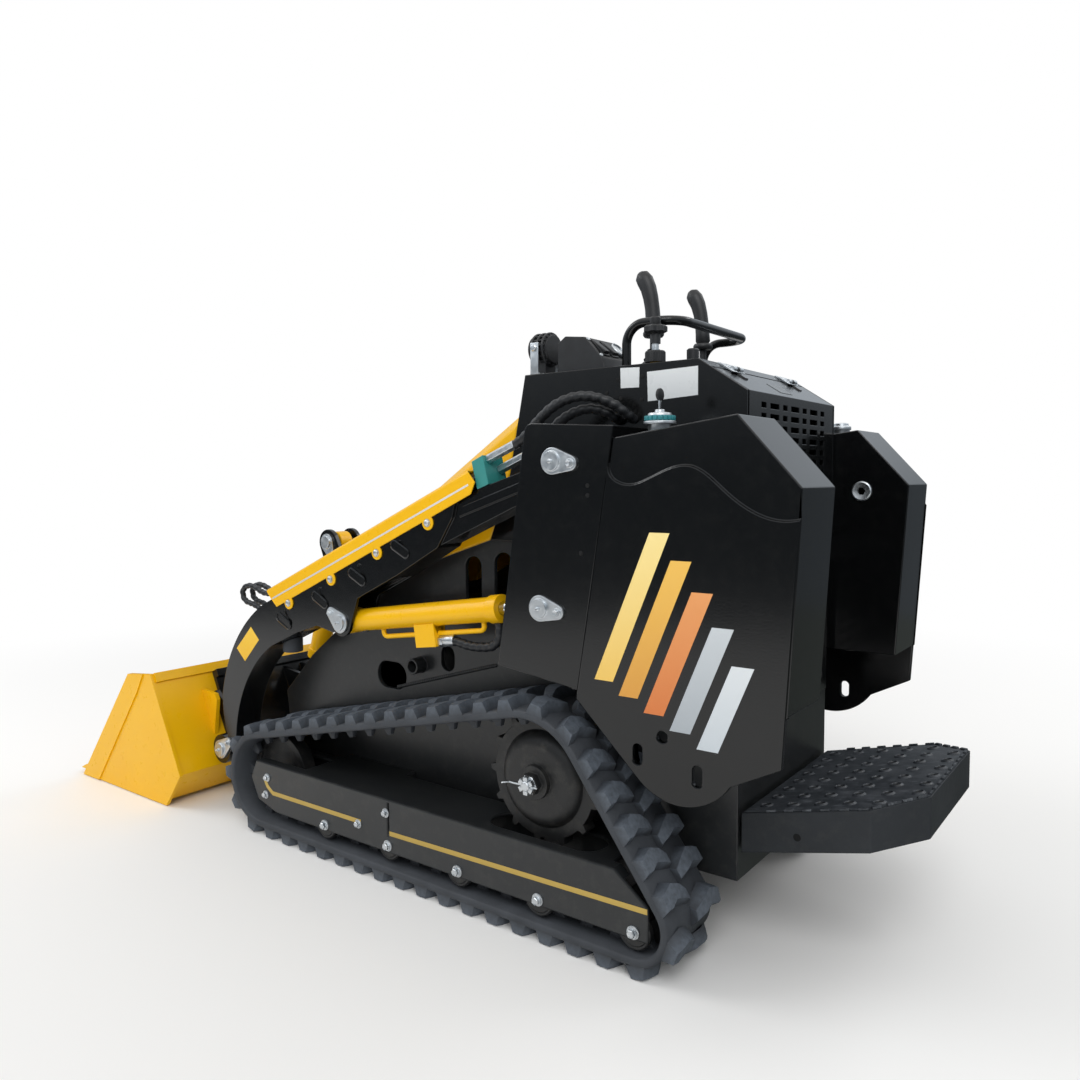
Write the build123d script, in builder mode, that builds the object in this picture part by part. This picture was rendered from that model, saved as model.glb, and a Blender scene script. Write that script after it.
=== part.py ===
"""Stand-on compact track loader: rubber tracks, twin lift arms, bucket on a tilting hitch.

Millimetres. +X is forward, +Y is the machine's left, +Z is up, and the ground is Z = 0.
Stations (x) are measured forward from the axle of the rearmost roller, and MID_X moves them
to the part's own origin, the middle of the footprint. Outlines are lists of (station, height).
"""
import os
from math import asin, atan2, cos, degrees, hypot, pi, radians, sin, tan

from build123d import *

# Overall stations and widths
LIP_X = 2090.0                 # bucket cutting edge
PLATFORM_REAR_X = -468.0       # rear edge of the operator's platform
MID_X = (LIP_X + PLATFORM_REAR_X) / 2
BODY_HALF = 250.0              # outer face of the chassis side plates
TRACK_GAP = 20.0               # chassis side plate to track
TRACK_W = 180.0
TRACK_IN = BODY_HALF + TRACK_GAP
TRACK_OUT = TRACK_IN + TRACK_W
TRACK_MID = (TRACK_IN + TRACK_OUT) / 2
POD_INSET = 30.0               # rear pods and towers stand inside the track's outer edge
POD_OUT = TRACK_OUT - POD_INSET
PLATE = 12.0                   # heavy plate
SHEET = 6.0                    # sheet metal
FREE = 5.0                     # clearance between moving pieces
SEAT = 0.3                     # gap between parts that nearly touch
RUN = 0.05                     # radial running clearance of a pin or a rod

# Track loop: wheel centres (station, height) and the radius of the belt's inner face on each
SPROCKET = (255.0, 318.0)
SPROCKET_R = 143.0
REAR_IDLER_X = -6.0
REAR_IDLER_R = 60.0
FRONT_IDLER_X = 1153.0
FRONT_IDLER_R = 110.0
BELT_T = 18.0
LUG_H = 24.0
LUG_PITCH = 72.0
LUG_FOOT = 46.0
LUG_TIP = 32.0
HORN_H = 24.0
HORN_FOOT = 34.0
HORN_TIP = 16.0
HORN_T = 16.0
WHEEL_W = 36.0
ROLLER_R = 42.0
ROLLER_XS = (225.0, 450.0, 675.0, 900.0)
AXLE_R = 14.0                  # corner radius of the hexagon axles
BELT_DOWN = BELT_T + LUG_H     # height of the belt's inner face over the ground
REAR_IDLER = (REAR_IDLER_X, BELT_DOWN + REAR_IDLER_R)
FRONT_IDLER = (FRONT_IDLER_X, BELT_DOWN + FRONT_IDLER_R)

# Track frame: a channel, open below, that carries the wheels
FRAME_INSET = 15.0
FRAME_OUT = TRACK_OUT - FRAME_INSET
FRAME_IN = TRACK_IN + FRAME_INSET
FRAME_TOP = 199.0
FRAME_BOTTOM = 70.0
FRAME_WALL = 8.0

# Chassis
CHASSIS_REAR_X = -130.0
CHASSIS_FRONT_X = 1269.0
CHASSIS_BOTTOM = 150.0
CHASSIS_TOP = 808.0
ENGINE_X = (330.0, 760.0)
ENGINE_HALF = BODY_HALF - 70.0
ENGINE_TOP = 640.0

# Arm pivot, lift cylinder pins and bucket pin (station, height)
ARM_PIVOT = (192.0, 986.0)
LIFT_BASE = (881.0, 595.0)
LIFT_ROD = (225.0, 689.0)
BUCKET_PIN = (1418.0, 174.0)
ARM_INSET = 65.0               # arms stand inside the track's outer edge
ARM_W = 80.0
ARM_OUT = TRACK_OUT - ARM_INSET
ARM_IN = ARM_OUT - ARM_W
ARM_MID = (ARM_OUT + ARM_IN) / 2
ARM_BOSS_R = 42.0
LUG_BOSS_R = 36.0
PIN_R = 18.0

# Pin retainers: teardrop plates with a round head
RETAINER_R = 27.0
RETAINER_TAIL_R = 15.0
RETAINER_T = 6.0
RETAINER_HEAD_R = 20.0
RETAINER_HEAD_T = 6.0

# Lift cylinder and hoses
BARREL_R = 28.0
BARREL_LEN = 500.0             # pin to the mouth of the barrel
ROD_R = 15.0
EYE_R = 32.0
EYE_W = 46.0
PIPE_R = 6.0
HOSE_R = 11.0

# Tilt cylinder and bucket
TILT_BASE = (1330.0, 761.0)
TILT_ARM = 130.0               # from the bucket pin to the tilt rod's pin
TILT_ARM_DEG = 62.0            # direction of that arm with the bucket level
TILT_BARREL_R = 32.0
TILT_BARREL_LEN = 400.0
TILT_ROD_R = 17.0
TILT_ROD_IN = 150.0            # inner end of the tilt rod from the base pin
TILT_ROD_BACK = 50.0           # room for the rod to run further in than at rest
TILT_EYE_W = 44.0
BUCKET_HALF = TRACK_OUT + 35.0
BUCKET_SIDE_T = 10.0
BUCKET_STRIP_T = 4.0
BUCKET_SHEET = 8.0
FLOOR_Z = 14.0                 # underside of the bucket floor
SIDE_Z = 3.0                   # the side plates run just over the ground
HEEL_X = 1570.0
KNEE = (1490.0, 105.0)
BACK_TOP = (1625.0, 385.0)
SIDE_TOP = (1745.0, 372.0)
SIDE_FRONT_X = 2050.0

# Console
CONSOLE_TOP = 1186.0


def side(y):
    """Upright plane along the machine; a sketch on it is in (station, height)."""
    return Plane(origin=(-MID_X, y, 0), x_dir=(1, 0, 0), z_dir=(0, -1, 0))


def level(z):
    """Flat plane at a height; a sketch on it is in (station, Y)."""
    return Plane(origin=(-MID_X, 0, z), x_dir=(1, 0, 0), z_dir=(0, 0, 1))


def across(x):
    """Upright plane across the machine; a sketch on it is in (Y, height), and grows forward."""
    return Plane(origin=(x - MID_X, 0, 0), x_dir=(0, 1, 0), z_dir=(1, 0, 0))


def plate(points, outer, inner, mode=Mode.ADD):
    """Flat plate between two Y values from an outline of (station, height) points."""
    with BuildSketch(side(outer)) as outline:
        with BuildLine():
            Polyline(*points, close=True)
        make_face()
    extrude(outline.sketch, amount=outer - inner, mode=mode)


def disc(centre, radius, outer, inner, mode=Mode.ADD):
    """Round bar along Y at a (station, height) between two Y values."""
    with BuildSketch(side(outer)) as outline:
        with Locations(centre):
            Circle(radius)
    extrude(outline.sketch, amount=outer - inner, mode=mode)


def slot(centre, length, width, turn, outer, inner):
    """Round-ended slot cut along Y, its long axis turned up from the station axis."""
    with BuildSketch(side(outer)) as outline:
        with Locations(centre):
            SlotOverall(length, width, rotation=turn)
    extrude(outline.sketch, amount=outer - inner, mode=Mode.SUBTRACT)


def hexagon_bar(centre, radius, outer, inner):
    """Hexagon bar along Y at a (station, height) between two Y values."""
    with BuildSketch(side(outer)) as outline:
        with Locations(centre):
            RegularPolygon(radius, 6)
    extrude(outline.sketch, amount=outer - inner)


def link(ends, radii, outer, inner):
    """Plate with round ends about two or more (station, height) points, between two Y values."""
    with BuildSketch(side(outer)) as outline:
        for end, radius in zip(ends, radii):
            with Locations(end):
                Circle(radius)
        make_hull()
    extrude(outline.sketch, amount=outer - inner)


def retainer(pin, tail, face):
    """Teardrop plate on a face that locks a pin, with a round head over the pin."""
    end = (pin[0] + tail[0], pin[1] + tail[1])
    link((pin, end), (RETAINER_R, RETAINER_TAIL_R), face + RETAINER_T, face)
    disc(pin, RETAINER_HEAD_R, face + RETAINER_T + RETAINER_HEAD_T, face + RETAINER_T)


BEND_SHARE = 0.45              # part of the shorter run that a bend may take up


def pipe(points, radius):
    """Round tube along straight runs of (station, Y, height), with bends as wide as they allow."""
    places = [Vector(x - MID_X, y, z) for x, y, z in points]
    runs = [after - before for before, after in zip(places, places[1:])]
    bends = []
    for before, after in zip(runs, runs[1:]):
        half_turn = radians(before.get_angle(after)) / 2
        bends.append(BEND_SHARE * min(before.length, after.length) / tan(half_turn))
    with BuildLine() as route:
        FilletPolyline(*places, radius=bends)
    with BuildSketch(Plane(origin=places[0], z_dir=runs[0])) as section:
        Circle(radius)
    sweep(section.sketch, path=route.wires()[0])


def export_one(solid, name):
    solid.label = name
    export_step(solid, f"parts/{name}.step")


def export_pair(left, name):
    """Write the left piece and its mirror image on the right."""
    export_one(left.part, f"{name}_left")
    export_one(mirror(left.part, about=Plane.XZ), f"{name}_right")


def tangent_loop(grow):
    """Edges of the taut loop round the three wheels, grown outwards."""
    wheels = [
        (SPROCKET, SPROCKET_R + grow),
        (REAR_IDLER, REAR_IDLER_R + grow),
        (FRONT_IDLER, FRONT_IDLER_R + grow),
    ]
    runs = []
    for (centre_a, radius_a), (centre_b, radius_b) in zip(wheels, wheels[1:] + wheels[:1]):
        dx = centre_b[0] - centre_a[0]
        dz = centre_b[1] - centre_a[1]
        heading = atan2(dz, dx)
        lean = asin((radius_a - radius_b) / hypot(dx, dz))
        out = heading - pi / 2 + lean
        start = (centre_a[0] + radius_a * cos(out), centre_a[1] + radius_a * sin(out))
        end = (centre_b[0] + radius_b * cos(out), centre_b[1] + radius_b * sin(out))
        runs.append((start, end, out))
    edges = []
    for index, (start, end, out) in enumerate(runs):
        edges.append(("line", start, end))
        next_start, next_out = runs[(index + 1) % 3][0], runs[(index + 1) % 3][2]
        turn = (next_out - out) % (2 * pi)
        centre, radius = wheels[(index + 1) % 3]
        middle = out + turn / 2
        mid_point = (centre[0] + radius * cos(middle), centre[1] + radius * sin(middle))
        edges.append(("arc", end, mid_point, next_start))
    return edges


def draw_loop(grow):
    """Draw the loop in the active line builder."""
    for edge in tangent_loop(grow):
        if edge[0] == "line":
            Line(edge[1], edge[2])
        else:
            ThreePointArc(edge[1], edge[2], edge[3])


os.makedirs("parts", exist_ok=True)

# Rubber track: belt, two staggered rows of tread lugs outside, two rows of guide horns inside
with BuildLine() as belt_line:
    draw_loop(0)
LOOP_LEN = sum(edge.length for edge in belt_line.edges()) + 2 * pi * BELT_T / 2
LUG_COUNT = round(LOOP_LEN / LUG_PITCH)
HORN_COUNT = LUG_COUNT // 2
LOOP = belt_line.wires()[0]


def lug_row(count, phase, base, foot, tip, height, inward):
    """Lugs in the active sketch, evenly spread round the loop and square to it."""
    sunk = BELT_T / 3
    for index in range(count):
        share = ((index + phase) / count) % 1.0
        point = LOOP.position_at(share)
        along = LOOP.tangent_at(share)
        turn = degrees(atan2(along.Y, along.X))
        outward = radians(turn - 90)
        place = (point.X + base * cos(outward), point.Y + base * sin(outward))
        with Locations(Location((place[0], place[1], 0), (0, 0, turn if inward else turn + 180))):
            Polygon((-foot / 2, -sunk), (foot / 2, -sunk), (foot / 2, 0), (tip / 2, height),
                    (-tip / 2, height), (-foot / 2, 0), align=None)


with BuildPart() as track:
    for phase, outer in ((0.0, TRACK_OUT), (0.5, TRACK_MID)):
        with BuildSketch(side(outer)):
            with BuildLine():
                draw_loop(BELT_T)
            make_face()
            lug_row(LUG_COUNT, phase, BELT_T, LUG_FOOT, LUG_TIP, LUG_H, False)
            with BuildLine(mode=Mode.PRIVATE) as hollow:
                draw_loop(0)
            make_face(hollow.edges(), mode=Mode.SUBTRACT)
        extrude(amount=TRACK_W / 2)
    for row in (1, -1):
        with BuildSketch(side(TRACK_MID + row * (WHEEL_W / 2 + FREE + HORN_T / 2) + HORN_T / 2)):
            lug_row(HORN_COUNT, 0.25, 0, HORN_FOOT, HORN_TIP, HORN_H, True)
        extrude(amount=HORN_T)
export_pair(track, "track")

# Track frame: channel in two lengths, with slots in its top for the sprocket and both idlers
FRAME_REAR = -34.0
FRAME_OUTLINE = [
    (FRAME_REAR, 140), (43, FRAME_TOP), (1182, FRAME_TOP), (1206, 150), (1176, 92),
    (1100, FRAME_BOTTOM), (FRAME_REAR, FRAME_BOTTOM),
]
FRAME_CEILING = FRAME_TOP - FRAME_WALL
FRAME_ROOM = [(-80, 0), (-80, 140), (43, FRAME_CEILING), (1300, FRAME_CEILING), (1300, 0)]
SLOT_HALF = WHEEL_W / 2 + FREE + HORN_T + FREE
SPROCKET_SLOT = (110.0, 400.0)
IDLER_SLOTS = ((-120.0, 60.0), (1010.0, 1230.0))
STUBS = ((150.0, 420.0), (760.0, 1010.0))
STUB_BOTTOM = 105.0
JOINT_X = 668.0
JOINT_W = 4.0
JOINT_BOTTOM = 112.0
JOINT = [(JOINT_X, JOINT_BOTTOM), (JOINT_X + JOINT_W, JOINT_BOTTOM), (JOINT_X + JOINT_W, FRAME_CEILING),
         (JOINT_X, FRAME_CEILING)]
with BuildPart() as track_frame:
    plate(FRAME_OUTLINE, FRAME_OUT, FRAME_IN)
    plate(FRAME_ROOM, FRAME_OUT - FRAME_WALL, FRAME_IN + FRAME_WALL, mode=Mode.SUBTRACT)
    for start, end in IDLER_SLOTS:
        with BuildSketch(level(0)):
            with Locations(((start + end) / 2, TRACK_MID)):
                Rectangle(end - start, 2 * SLOT_HALF)
        extrude(amount=FRAME_TOP, mode=Mode.SUBTRACT)
    with BuildSketch(level(0)):
        with Locations(((SPROCKET_SLOT[0] + SPROCKET_SLOT[1]) / 2, TRACK_MID)):
            SlotOverall(SPROCKET_SLOT[1] - SPROCKET_SLOT[0], 2 * SLOT_HALF)
    extrude(amount=FRAME_TOP, mode=Mode.SUBTRACT)
    plate(JOINT, FRAME_OUT, FRAME_OUT - FRAME_WALL, mode=Mode.SUBTRACT)
    for start, end in STUBS:
        plate([(start, STUB_BOTTOM), (end, STUB_BOTTOM), (end, FRAME_TOP), (start, FRAME_TOP)],
              FRAME_IN, BODY_HALF)
export_pair(track_frame, "track_frame")

# Wheels inside the track: road rollers, rear idler and front idler, each on its axle
INSIDE_OUT = FRAME_OUT - FRAME_WALL
INSIDE_IN = FRAME_IN + FRAME_WALL
WHEEL_OUT = TRACK_MID + WHEEL_W / 2
WHEEL_IN = TRACK_MID - WHEEL_W / 2
with BuildPart() as rollers:
    for x in ROLLER_XS:
        disc((x, BELT_DOWN + ROLLER_R), ROLLER_R - SEAT, WHEEL_OUT, WHEEL_IN)
        hexagon_bar((x, BELT_DOWN + ROLLER_R), AXLE_R, INSIDE_OUT, INSIDE_IN)
    disc(REAR_IDLER, REAR_IDLER_R - SEAT, WHEEL_OUT, WHEEL_IN)
    hexagon_bar(REAR_IDLER, AXLE_R, INSIDE_OUT, INSIDE_IN)
export_pair(rollers, "road_rollers")

IDLER_DISH = 8.0               # each face of the front idler is dished this deep
IDLER_RIM = 18.0
with BuildPart() as front_idler:
    disc(FRONT_IDLER, FRONT_IDLER_R - SEAT, WHEEL_OUT, WHEEL_IN)
    disc(FRONT_IDLER, FRONT_IDLER_R - IDLER_RIM, WHEEL_OUT, WHEEL_OUT - IDLER_DISH, mode=Mode.SUBTRACT)
    disc(FRONT_IDLER, FRONT_IDLER_R - IDLER_RIM, WHEEL_IN + IDLER_DISH, WHEEL_IN, mode=Mode.SUBTRACT)
    hexagon_bar(FRONT_IDLER, AXLE_R, INSIDE_OUT, INSIDE_IN)
export_pair(front_idler, "front_idler")

# Drive sprocket: toothed ring with a dished cover, hub and nut, on a motor flanged to the chassis
SPROCKET_TEETH = round(2 * pi * (SPROCKET_R + BELT_T / 2) / LUG_PITCH)
TOOTH_H = 14.0
TOOTH_FOOT = 28.0
TOOTH_TAPER = 72.0
MOTOR_R = 78.0
DOME_R = 104.0
DOME_SHOULDER = (15.0, 92.0)   # out from the ring, and radius
DOME_TOP = (22.0, 70.0)
HUB_R = 36.0
HUB_T = 12.0
NUT_R = 24.0
NUT_T = 16.0
HUB_OUT = WHEEL_OUT + DOME_TOP[0] + HUB_T
HUB_AT = (SPROCKET[0] - MID_X, WHEEL_OUT, SPROCKET[1])
with BuildPart() as sprocket:
    with BuildSketch(side(WHEEL_OUT)):
        with Locations(SPROCKET):
            Circle(SPROCKET_R - TOOTH_H)
            with PolarLocations(SPROCKET_R - TOOTH_H, SPROCKET_TEETH):
                Trapezoid(TOOTH_FOOT, 2 * TOOTH_H - 2, TOOTH_TAPER, rotation=-90)
    extrude(amount=WHEEL_W)
    disc(SPROCKET, MOTOR_R, WHEEL_IN, BODY_HALF)
    with BuildSketch(Plane(origin=HUB_AT, x_dir=(0, 1, 0), z_dir=(1, 0, 0))) as dome:
        with BuildLine():
            Line((0, 0), (0, DOME_R))
            ThreePointArc((0, DOME_R), DOME_SHOULDER, DOME_TOP)
            Polyline(DOME_TOP, (DOME_TOP[0], 0), (0, 0))
        make_face()
    revolve(dome.sketch, axis=Axis(HUB_AT, (0, 1, 0)))
    disc(SPROCKET, HUB_R, HUB_OUT, WHEEL_OUT)
    hexagon_bar(SPROCKET, NUT_R, HUB_OUT + NUT_T, HUB_OUT)
export_pair(sprocket, "drive_sprocket")

# Chassis: two side plates joined by a floor, a front wall and a rear wall, with slots to reach inside
CHASSIS_OUTLINE = [
    (CHASSIS_REAR_X, CHASSIS_BOTTOM), (1240, CHASSIS_BOTTOM), (CHASSIS_FRONT_X, 208), (1287, 340),
    (1224, 401), (1168, 457), (1066, 533), (977, 629), (770, 722), (501, CHASSIS_TOP),
    (CHASSIS_REAR_X, CHASSIS_TOP),
]
CHASSIS_ROOM = [
    (CHASSIS_REAR_X + PLATE, CHASSIS_BOTTOM + PLATE), (1225, CHASSIS_BOTTOM + PLATE), (1250, 215),
    (1265, 330),
    (1200, 395), (1155, 445), (1050, 520), (960, 618), (960, 1000), (CHASSIS_REAR_X + PLATE, 1000),
]
SIDE_SLOTS = (                 # centre, length, width and turn of each slot in the side plates
    ((843.0, 441.0), 106.0, 70.0, 0.0),
    ((643.0, 508.0), 62.0, 44.0, 90.0),
    ((555.0, 705.0), 124.0, 50.0, 90.0),
    ((462.0, 705.0), 150.0, 54.0, 90.0),
)
STUB_PIPE = (735.0, 482.0)
STUB_PIPE_R = 20.0
STUB_PIPE_OUT = 34.0
STUB_PIPE_WALL = 6.0
with BuildPart() as chassis:
    plate(CHASSIS_OUTLINE, BODY_HALF, -BODY_HALF)
    plate(CHASSIS_ROOM, BODY_HALF - PLATE, PLATE - BODY_HALF, mode=Mode.SUBTRACT)
    for centre, length, width, turn in SIDE_SLOTS:
        slot(centre, length, width, turn, BODY_HALF, -BODY_HALF)
    disc(STUB_PIPE, STUB_PIPE_R, BODY_HALF + STUB_PIPE_OUT, BODY_HALF)
    disc(STUB_PIPE, STUB_PIPE_R - STUB_PIPE_WALL, BODY_HALF + STUB_PIPE_OUT, BODY_HALF - PLATE,
         mode=Mode.SUBTRACT)
export_one(chassis.part, "chassis")

# Engine: one plain block on the chassis floor
with BuildPart() as engine:
    with BuildSketch(level(CHASSIS_BOTTOM + PLATE)):
        with Locations(((ENGINE_X[0] + ENGINE_X[1]) / 2, 0)):
            Rectangle(ENGINE_X[1] - ENGINE_X[0], 2 * ENGINE_HALF)
    extrude(amount=ENGINE_TOP - CHASSIS_BOTTOM - PLATE)
export_one(engine.part, "engine_block")

# Tower: outer and inner plate with a rear web; the arm swings between the plates
TOWER = [(52, 1051), (262, 1064), (319, 698), (340, 558), (137, 532)]
WEB_X = 14.0
TOWER_WEB = [TOWER[0], (TOWER[0][0] + WEB_X, TOWER[0][1]), (TOWER[4][0] + WEB_X, TOWER[4][1]), TOWER[4]]
TOWER_CORNER_R = 18.0
TOWER_IN = POD_OUT - PLATE     # inner face of the outer plate
TOWER_BACK = BODY_HALF + PLATE  # outer face of the inner plate
with BuildPart() as tower:
    for outer in (POD_OUT, TOWER_BACK):
        with BuildSketch(side(outer)) as tower_outline:
            Polygon(*TOWER, align=None)
            fillet(tower_outline.vertices().sort_by(Axis.X)[2], TOWER_CORNER_R)
        extrude(tower_outline.sketch, amount=PLATE)
    plate(TOWER_WEB, POD_OUT, BODY_HALF)
export_pair(tower, "tower")

# Arm pivot pins, and the retainers of the arm and lift rod pins on the towers
TOWER_TAIL = (-44.0, -5.0)
with BuildPart() as arm_pins:
    disc(ARM_PIVOT, PIN_R, TOWER_IN, TOWER_BACK)
    for pin in (ARM_PIVOT, LIFT_ROD):
        retainer(pin, TOWER_TAIL, POD_OUT)
    mirror(about=Plane.XZ)
export_one(arm_pins.part, "arm_pivot_pins")

# Rear pods: tanks behind the towers, under an outer plate that ends in a lobe with tie-down holes
POD_STEP = 5.0                 # the outer plate stands this far over the tank
POD_TOP = [(55.8, 1028), (-197, 1060), (-313, 932)]
TANK_BOTTOM = [(-290, 540), (135.6, 540)]
SEAM_FRONT = (63.5, 981.0)
SEAM_REAR = (-309.8, 879.0)
SEAM = [SEAM_FRONT, (54, 951), (25, 939), (-35, 955), (-108, 972), (-177, 926), (-235, 888), SEAM_REAR]
POD_REAR_LOW = (-284.0, 451.0)
LOBE = ((-190.0, 402.0), (-88.0, 346.0), (2.0, 383.0))
POD_FRONT_LOW = (139.9, 514.0)
TIE_DOWN = (-54.0, 470.0)
TIE_DOWN_R = 11.0
LOBE_SLOTS = ((-1.0, 428.0), (-126.0, 409.0))
LOBE_SLOT_LEN = 40.0
LOBE_SLOT_W = 20.0
with BuildPart() as pod:
    plate(POD_TOP + TANK_BOTTOM, POD_OUT - POD_STEP, BODY_HALF)
    with BuildSketch(side(POD_OUT)) as pod_plate:
        with BuildLine():
            Spline(*SEAM)
            Polyline(SEAM_REAR, POD_REAR_LOW, LOBE[0])
            ThreePointArc(*LOBE)
            Polyline(LOBE[2], POD_FRONT_LOW, SEAM_FRONT)
        make_face()
    extrude(pod_plate.sketch, amount=PLATE)
    plate(TOWER, POD_OUT, BODY_HALF, mode=Mode.SUBTRACT)
    disc(TIE_DOWN, TIE_DOWN_R, POD_OUT, TOWER_IN, mode=Mode.SUBTRACT)
    for centre in LOBE_SLOTS:
        slot(centre, LOBE_SLOT_LEN, LOBE_SLOT_W, 90, POD_OUT, TOWER_IN)
export_pair(pod, "pod")

# Filler cap of the left tank
CAP = (-15.0, BODY_HALF + 110.0)
CAP_R = 30.0
CAP_TOP = 1078.0
CAP_NECK_R = 22.0
CAP_NECK = (1020.0, 1052.0)
with BuildPart() as cap:
    with BuildSketch(level(CAP_NECK[1])):
        with Locations(CAP):
            Circle(CAP_R)
    extrude(amount=CAP_TOP - CAP_NECK[1])
    with BuildSketch(level(CAP_NECK[0])):
        with Locations(CAP):
            Circle(CAP_NECK_R)
    extrude(amount=CAP_NECK[1] - CAP_NECK[0])
    add(pod.part, mode=Mode.SUBTRACT)
export_one(cap.part, "fuel_cap")

# Console: hollow sheet body over the chassis, open at the rear where the hatch closes it
CONSOLE = [
    (-142, CHASSIS_TOP), (501, CHASSIS_TOP), (440, 960), (393, CONSOLE_TOP), (-39, CONSOLE_TOP),
    (-142, CONSOLE_TOP - 68),
]
SLOPE_TOP, SLOPE_END = CONSOLE[4], CONSOLE[5]
SLOPE_LEN = hypot(SLOPE_END[0] - SLOPE_TOP[0], SLOPE_END[1] - SLOPE_TOP[1])
DOWN_SLOPE = ((SLOPE_END[0] - SLOPE_TOP[0]) / SLOPE_LEN, (SLOPE_END[1] - SLOPE_TOP[1]) / SLOPE_LEN)


def on_slope(down, out):
    """Point at a distance down the console's sloped rear edge and out from it."""
    return (SLOPE_TOP[0] + down * DOWN_SLOPE[0] + out * DOWN_SLOPE[1],
            SLOPE_TOP[1] + down * DOWN_SLOPE[1] - out * DOWN_SLOPE[0])


SILL = 30.0                    # fixed strip of the slope, over the hatch
HINGE_DOWN = SILL + FREE + 4
KNUCKLE_R = 6.0
KNUCKLE_LIFT = 0.5             # knuckles stand just off the hatch
HINGE_PIN_R = 3.0
HATCH_HINGE = on_slope(HINGE_DOWN, KNUCKLE_R + KNUCKLE_LIFT)
HINGE_INSET = 100.0
HINGE_YS = (BODY_HALF - HINGE_INSET, HINGE_INSET - BODY_HALF)
LEAF_LEN = 30.0
LEAF_T = 3.0
LEAF_HALF = 22.0
KNUCKLE_HALF = 7.0
KNUCKLE_GAP = 1.0
CONSOLE_ROOM = [
    (-160, CHASSIS_TOP - 10), (490, CHASSIS_TOP - 10), (490, CHASSIS_TOP), (433, 955),
    (387, CONSOLE_TOP - SHEET),
    on_slope(SILL, -SHEET), on_slope(SILL, 20), (-160, CONSOLE_TOP - 36),
]
with BuildPart() as console:
    plate(CONSOLE, BODY_HALF, -BODY_HALF)
    plate(CONSOLE_ROOM, BODY_HALF - SHEET, SHEET - BODY_HALF, mode=Mode.SUBTRACT)
export_one(console.part, "console")

# Rear hatch: sloped lid and upright panel with rows of vent slots, hinged at the top
HATCH_HALF = BODY_HALF - SHEET - FREE
HATCH_BOTTOM = CHASSIS_TOP + 22
HATCH = [
    on_slope(SILL + FREE, 0), SLOPE_END, (SLOPE_END[0], HATCH_BOTTOM), (SLOPE_END[0] + SHEET, HATCH_BOTTOM),
    (SLOPE_END[0] + SHEET, SLOPE_END[1] - SHEET / 2), on_slope(SILL + FREE, -SHEET),
]
VENT_PITCH = 56.0
VENT_COLUMNS = 7
VENT_ROWS = 11
VENT_ROW_PITCH = 22.0
VENT_TOP = SLOPE_END[1] - 24
VENT_H = 11.0
VENT_LENS = (24.0, 46.0)       # short and long slots take turns along a row
with BuildPart() as hatch:
    plate(HATCH, HATCH_HALF, -HATCH_HALF)
    for y in HINGE_YS:
        plate([on_slope(HINGE_DOWN, 0), on_slope(HINGE_DOWN + LEAF_LEN, 0),
               on_slope(HINGE_DOWN + LEAF_LEN, LEAF_T),
               on_slope(HINGE_DOWN, LEAF_T)], y + KNUCKLE_HALF, y - KNUCKLE_HALF)
        disc(HATCH_HINGE, KNUCKLE_R, y + KNUCKLE_HALF, y - KNUCKLE_HALF)
        disc(HATCH_HINGE, HINGE_PIN_R + RUN, y + LEAF_HALF, y - LEAF_HALF, mode=Mode.SUBTRACT)
    with BuildSketch(across(SLOPE_END[0])) as vents:
        for column in range(VENT_COLUMNS):
            vent_y = (column - (VENT_COLUMNS - 1) / 2) * VENT_PITCH
            for row in range(VENT_ROWS):
                with Locations((vent_y, VENT_TOP - row * VENT_ROW_PITCH)):
                    Rectangle(VENT_LENS[column % 2], VENT_H)
    extrude(vents.sketch, amount=SHEET, mode=Mode.SUBTRACT)
export_one(hatch.part, "rear_hatch")

# Hatch hinges: leaf on the fixed strip, knuckles each side of the hatch's own, and the pin
LEAF_TOP = 4.0
HINGE_LEAF = [
    on_slope(HINGE_DOWN, KNUCKLE_LIFT), on_slope(SILL, KNUCKLE_LIFT), on_slope(SILL, 0),
    on_slope(LEAF_TOP, 0),
    on_slope(LEAF_TOP, LEAF_T), on_slope(HINGE_DOWN, LEAF_T),
]
with BuildPart() as hinges:
    for y in HINGE_YS:
        for outer in (y + LEAF_HALF, y - KNUCKLE_HALF - KNUCKLE_GAP):
            inner = outer - (LEAF_HALF - KNUCKLE_HALF - KNUCKLE_GAP)
            plate(HINGE_LEAF, outer, inner)
            disc(HATCH_HINGE, KNUCKLE_R, outer, inner)
        disc(HATCH_HINGE, HINGE_PIN_R, y + LEAF_HALF, y - LEAF_HALF)
export_one(hinges.part, "hatch_hinges")

# Rear grille: louvred panel on the chassis rear wall, under the hatch
GRILLE_X = CHASSIS_REAR_X - PLATE
GRILLE_Z = 600.0
GRILLE_H = 300.0
GRILLE_MARGIN = 30.0
LOUVRES = 9
LOUVRE_PITCH = 28.0
LOUVRE_GAP = 12.0
with BuildPart() as rear_grille:
    with BuildSketch(across(GRILLE_X)):
        with Locations((0, GRILLE_Z)):
            Rectangle(2 * (BODY_HALF - GRILLE_MARGIN), GRILLE_H)
    extrude(amount=PLATE)
    with BuildSketch(across(GRILLE_X)) as louvres:
        with Locations((0, GRILLE_Z)):
            with GridLocations(0, LOUVRE_PITCH, 1, LOUVRES):
                Rectangle(2 * (BODY_HALF - 2 * GRILLE_MARGIN), LOUVRE_GAP)
    extrude(louvres.sketch, amount=SHEET, mode=Mode.SUBTRACT)
export_one(rear_grille.part, "rear_grille")

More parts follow.
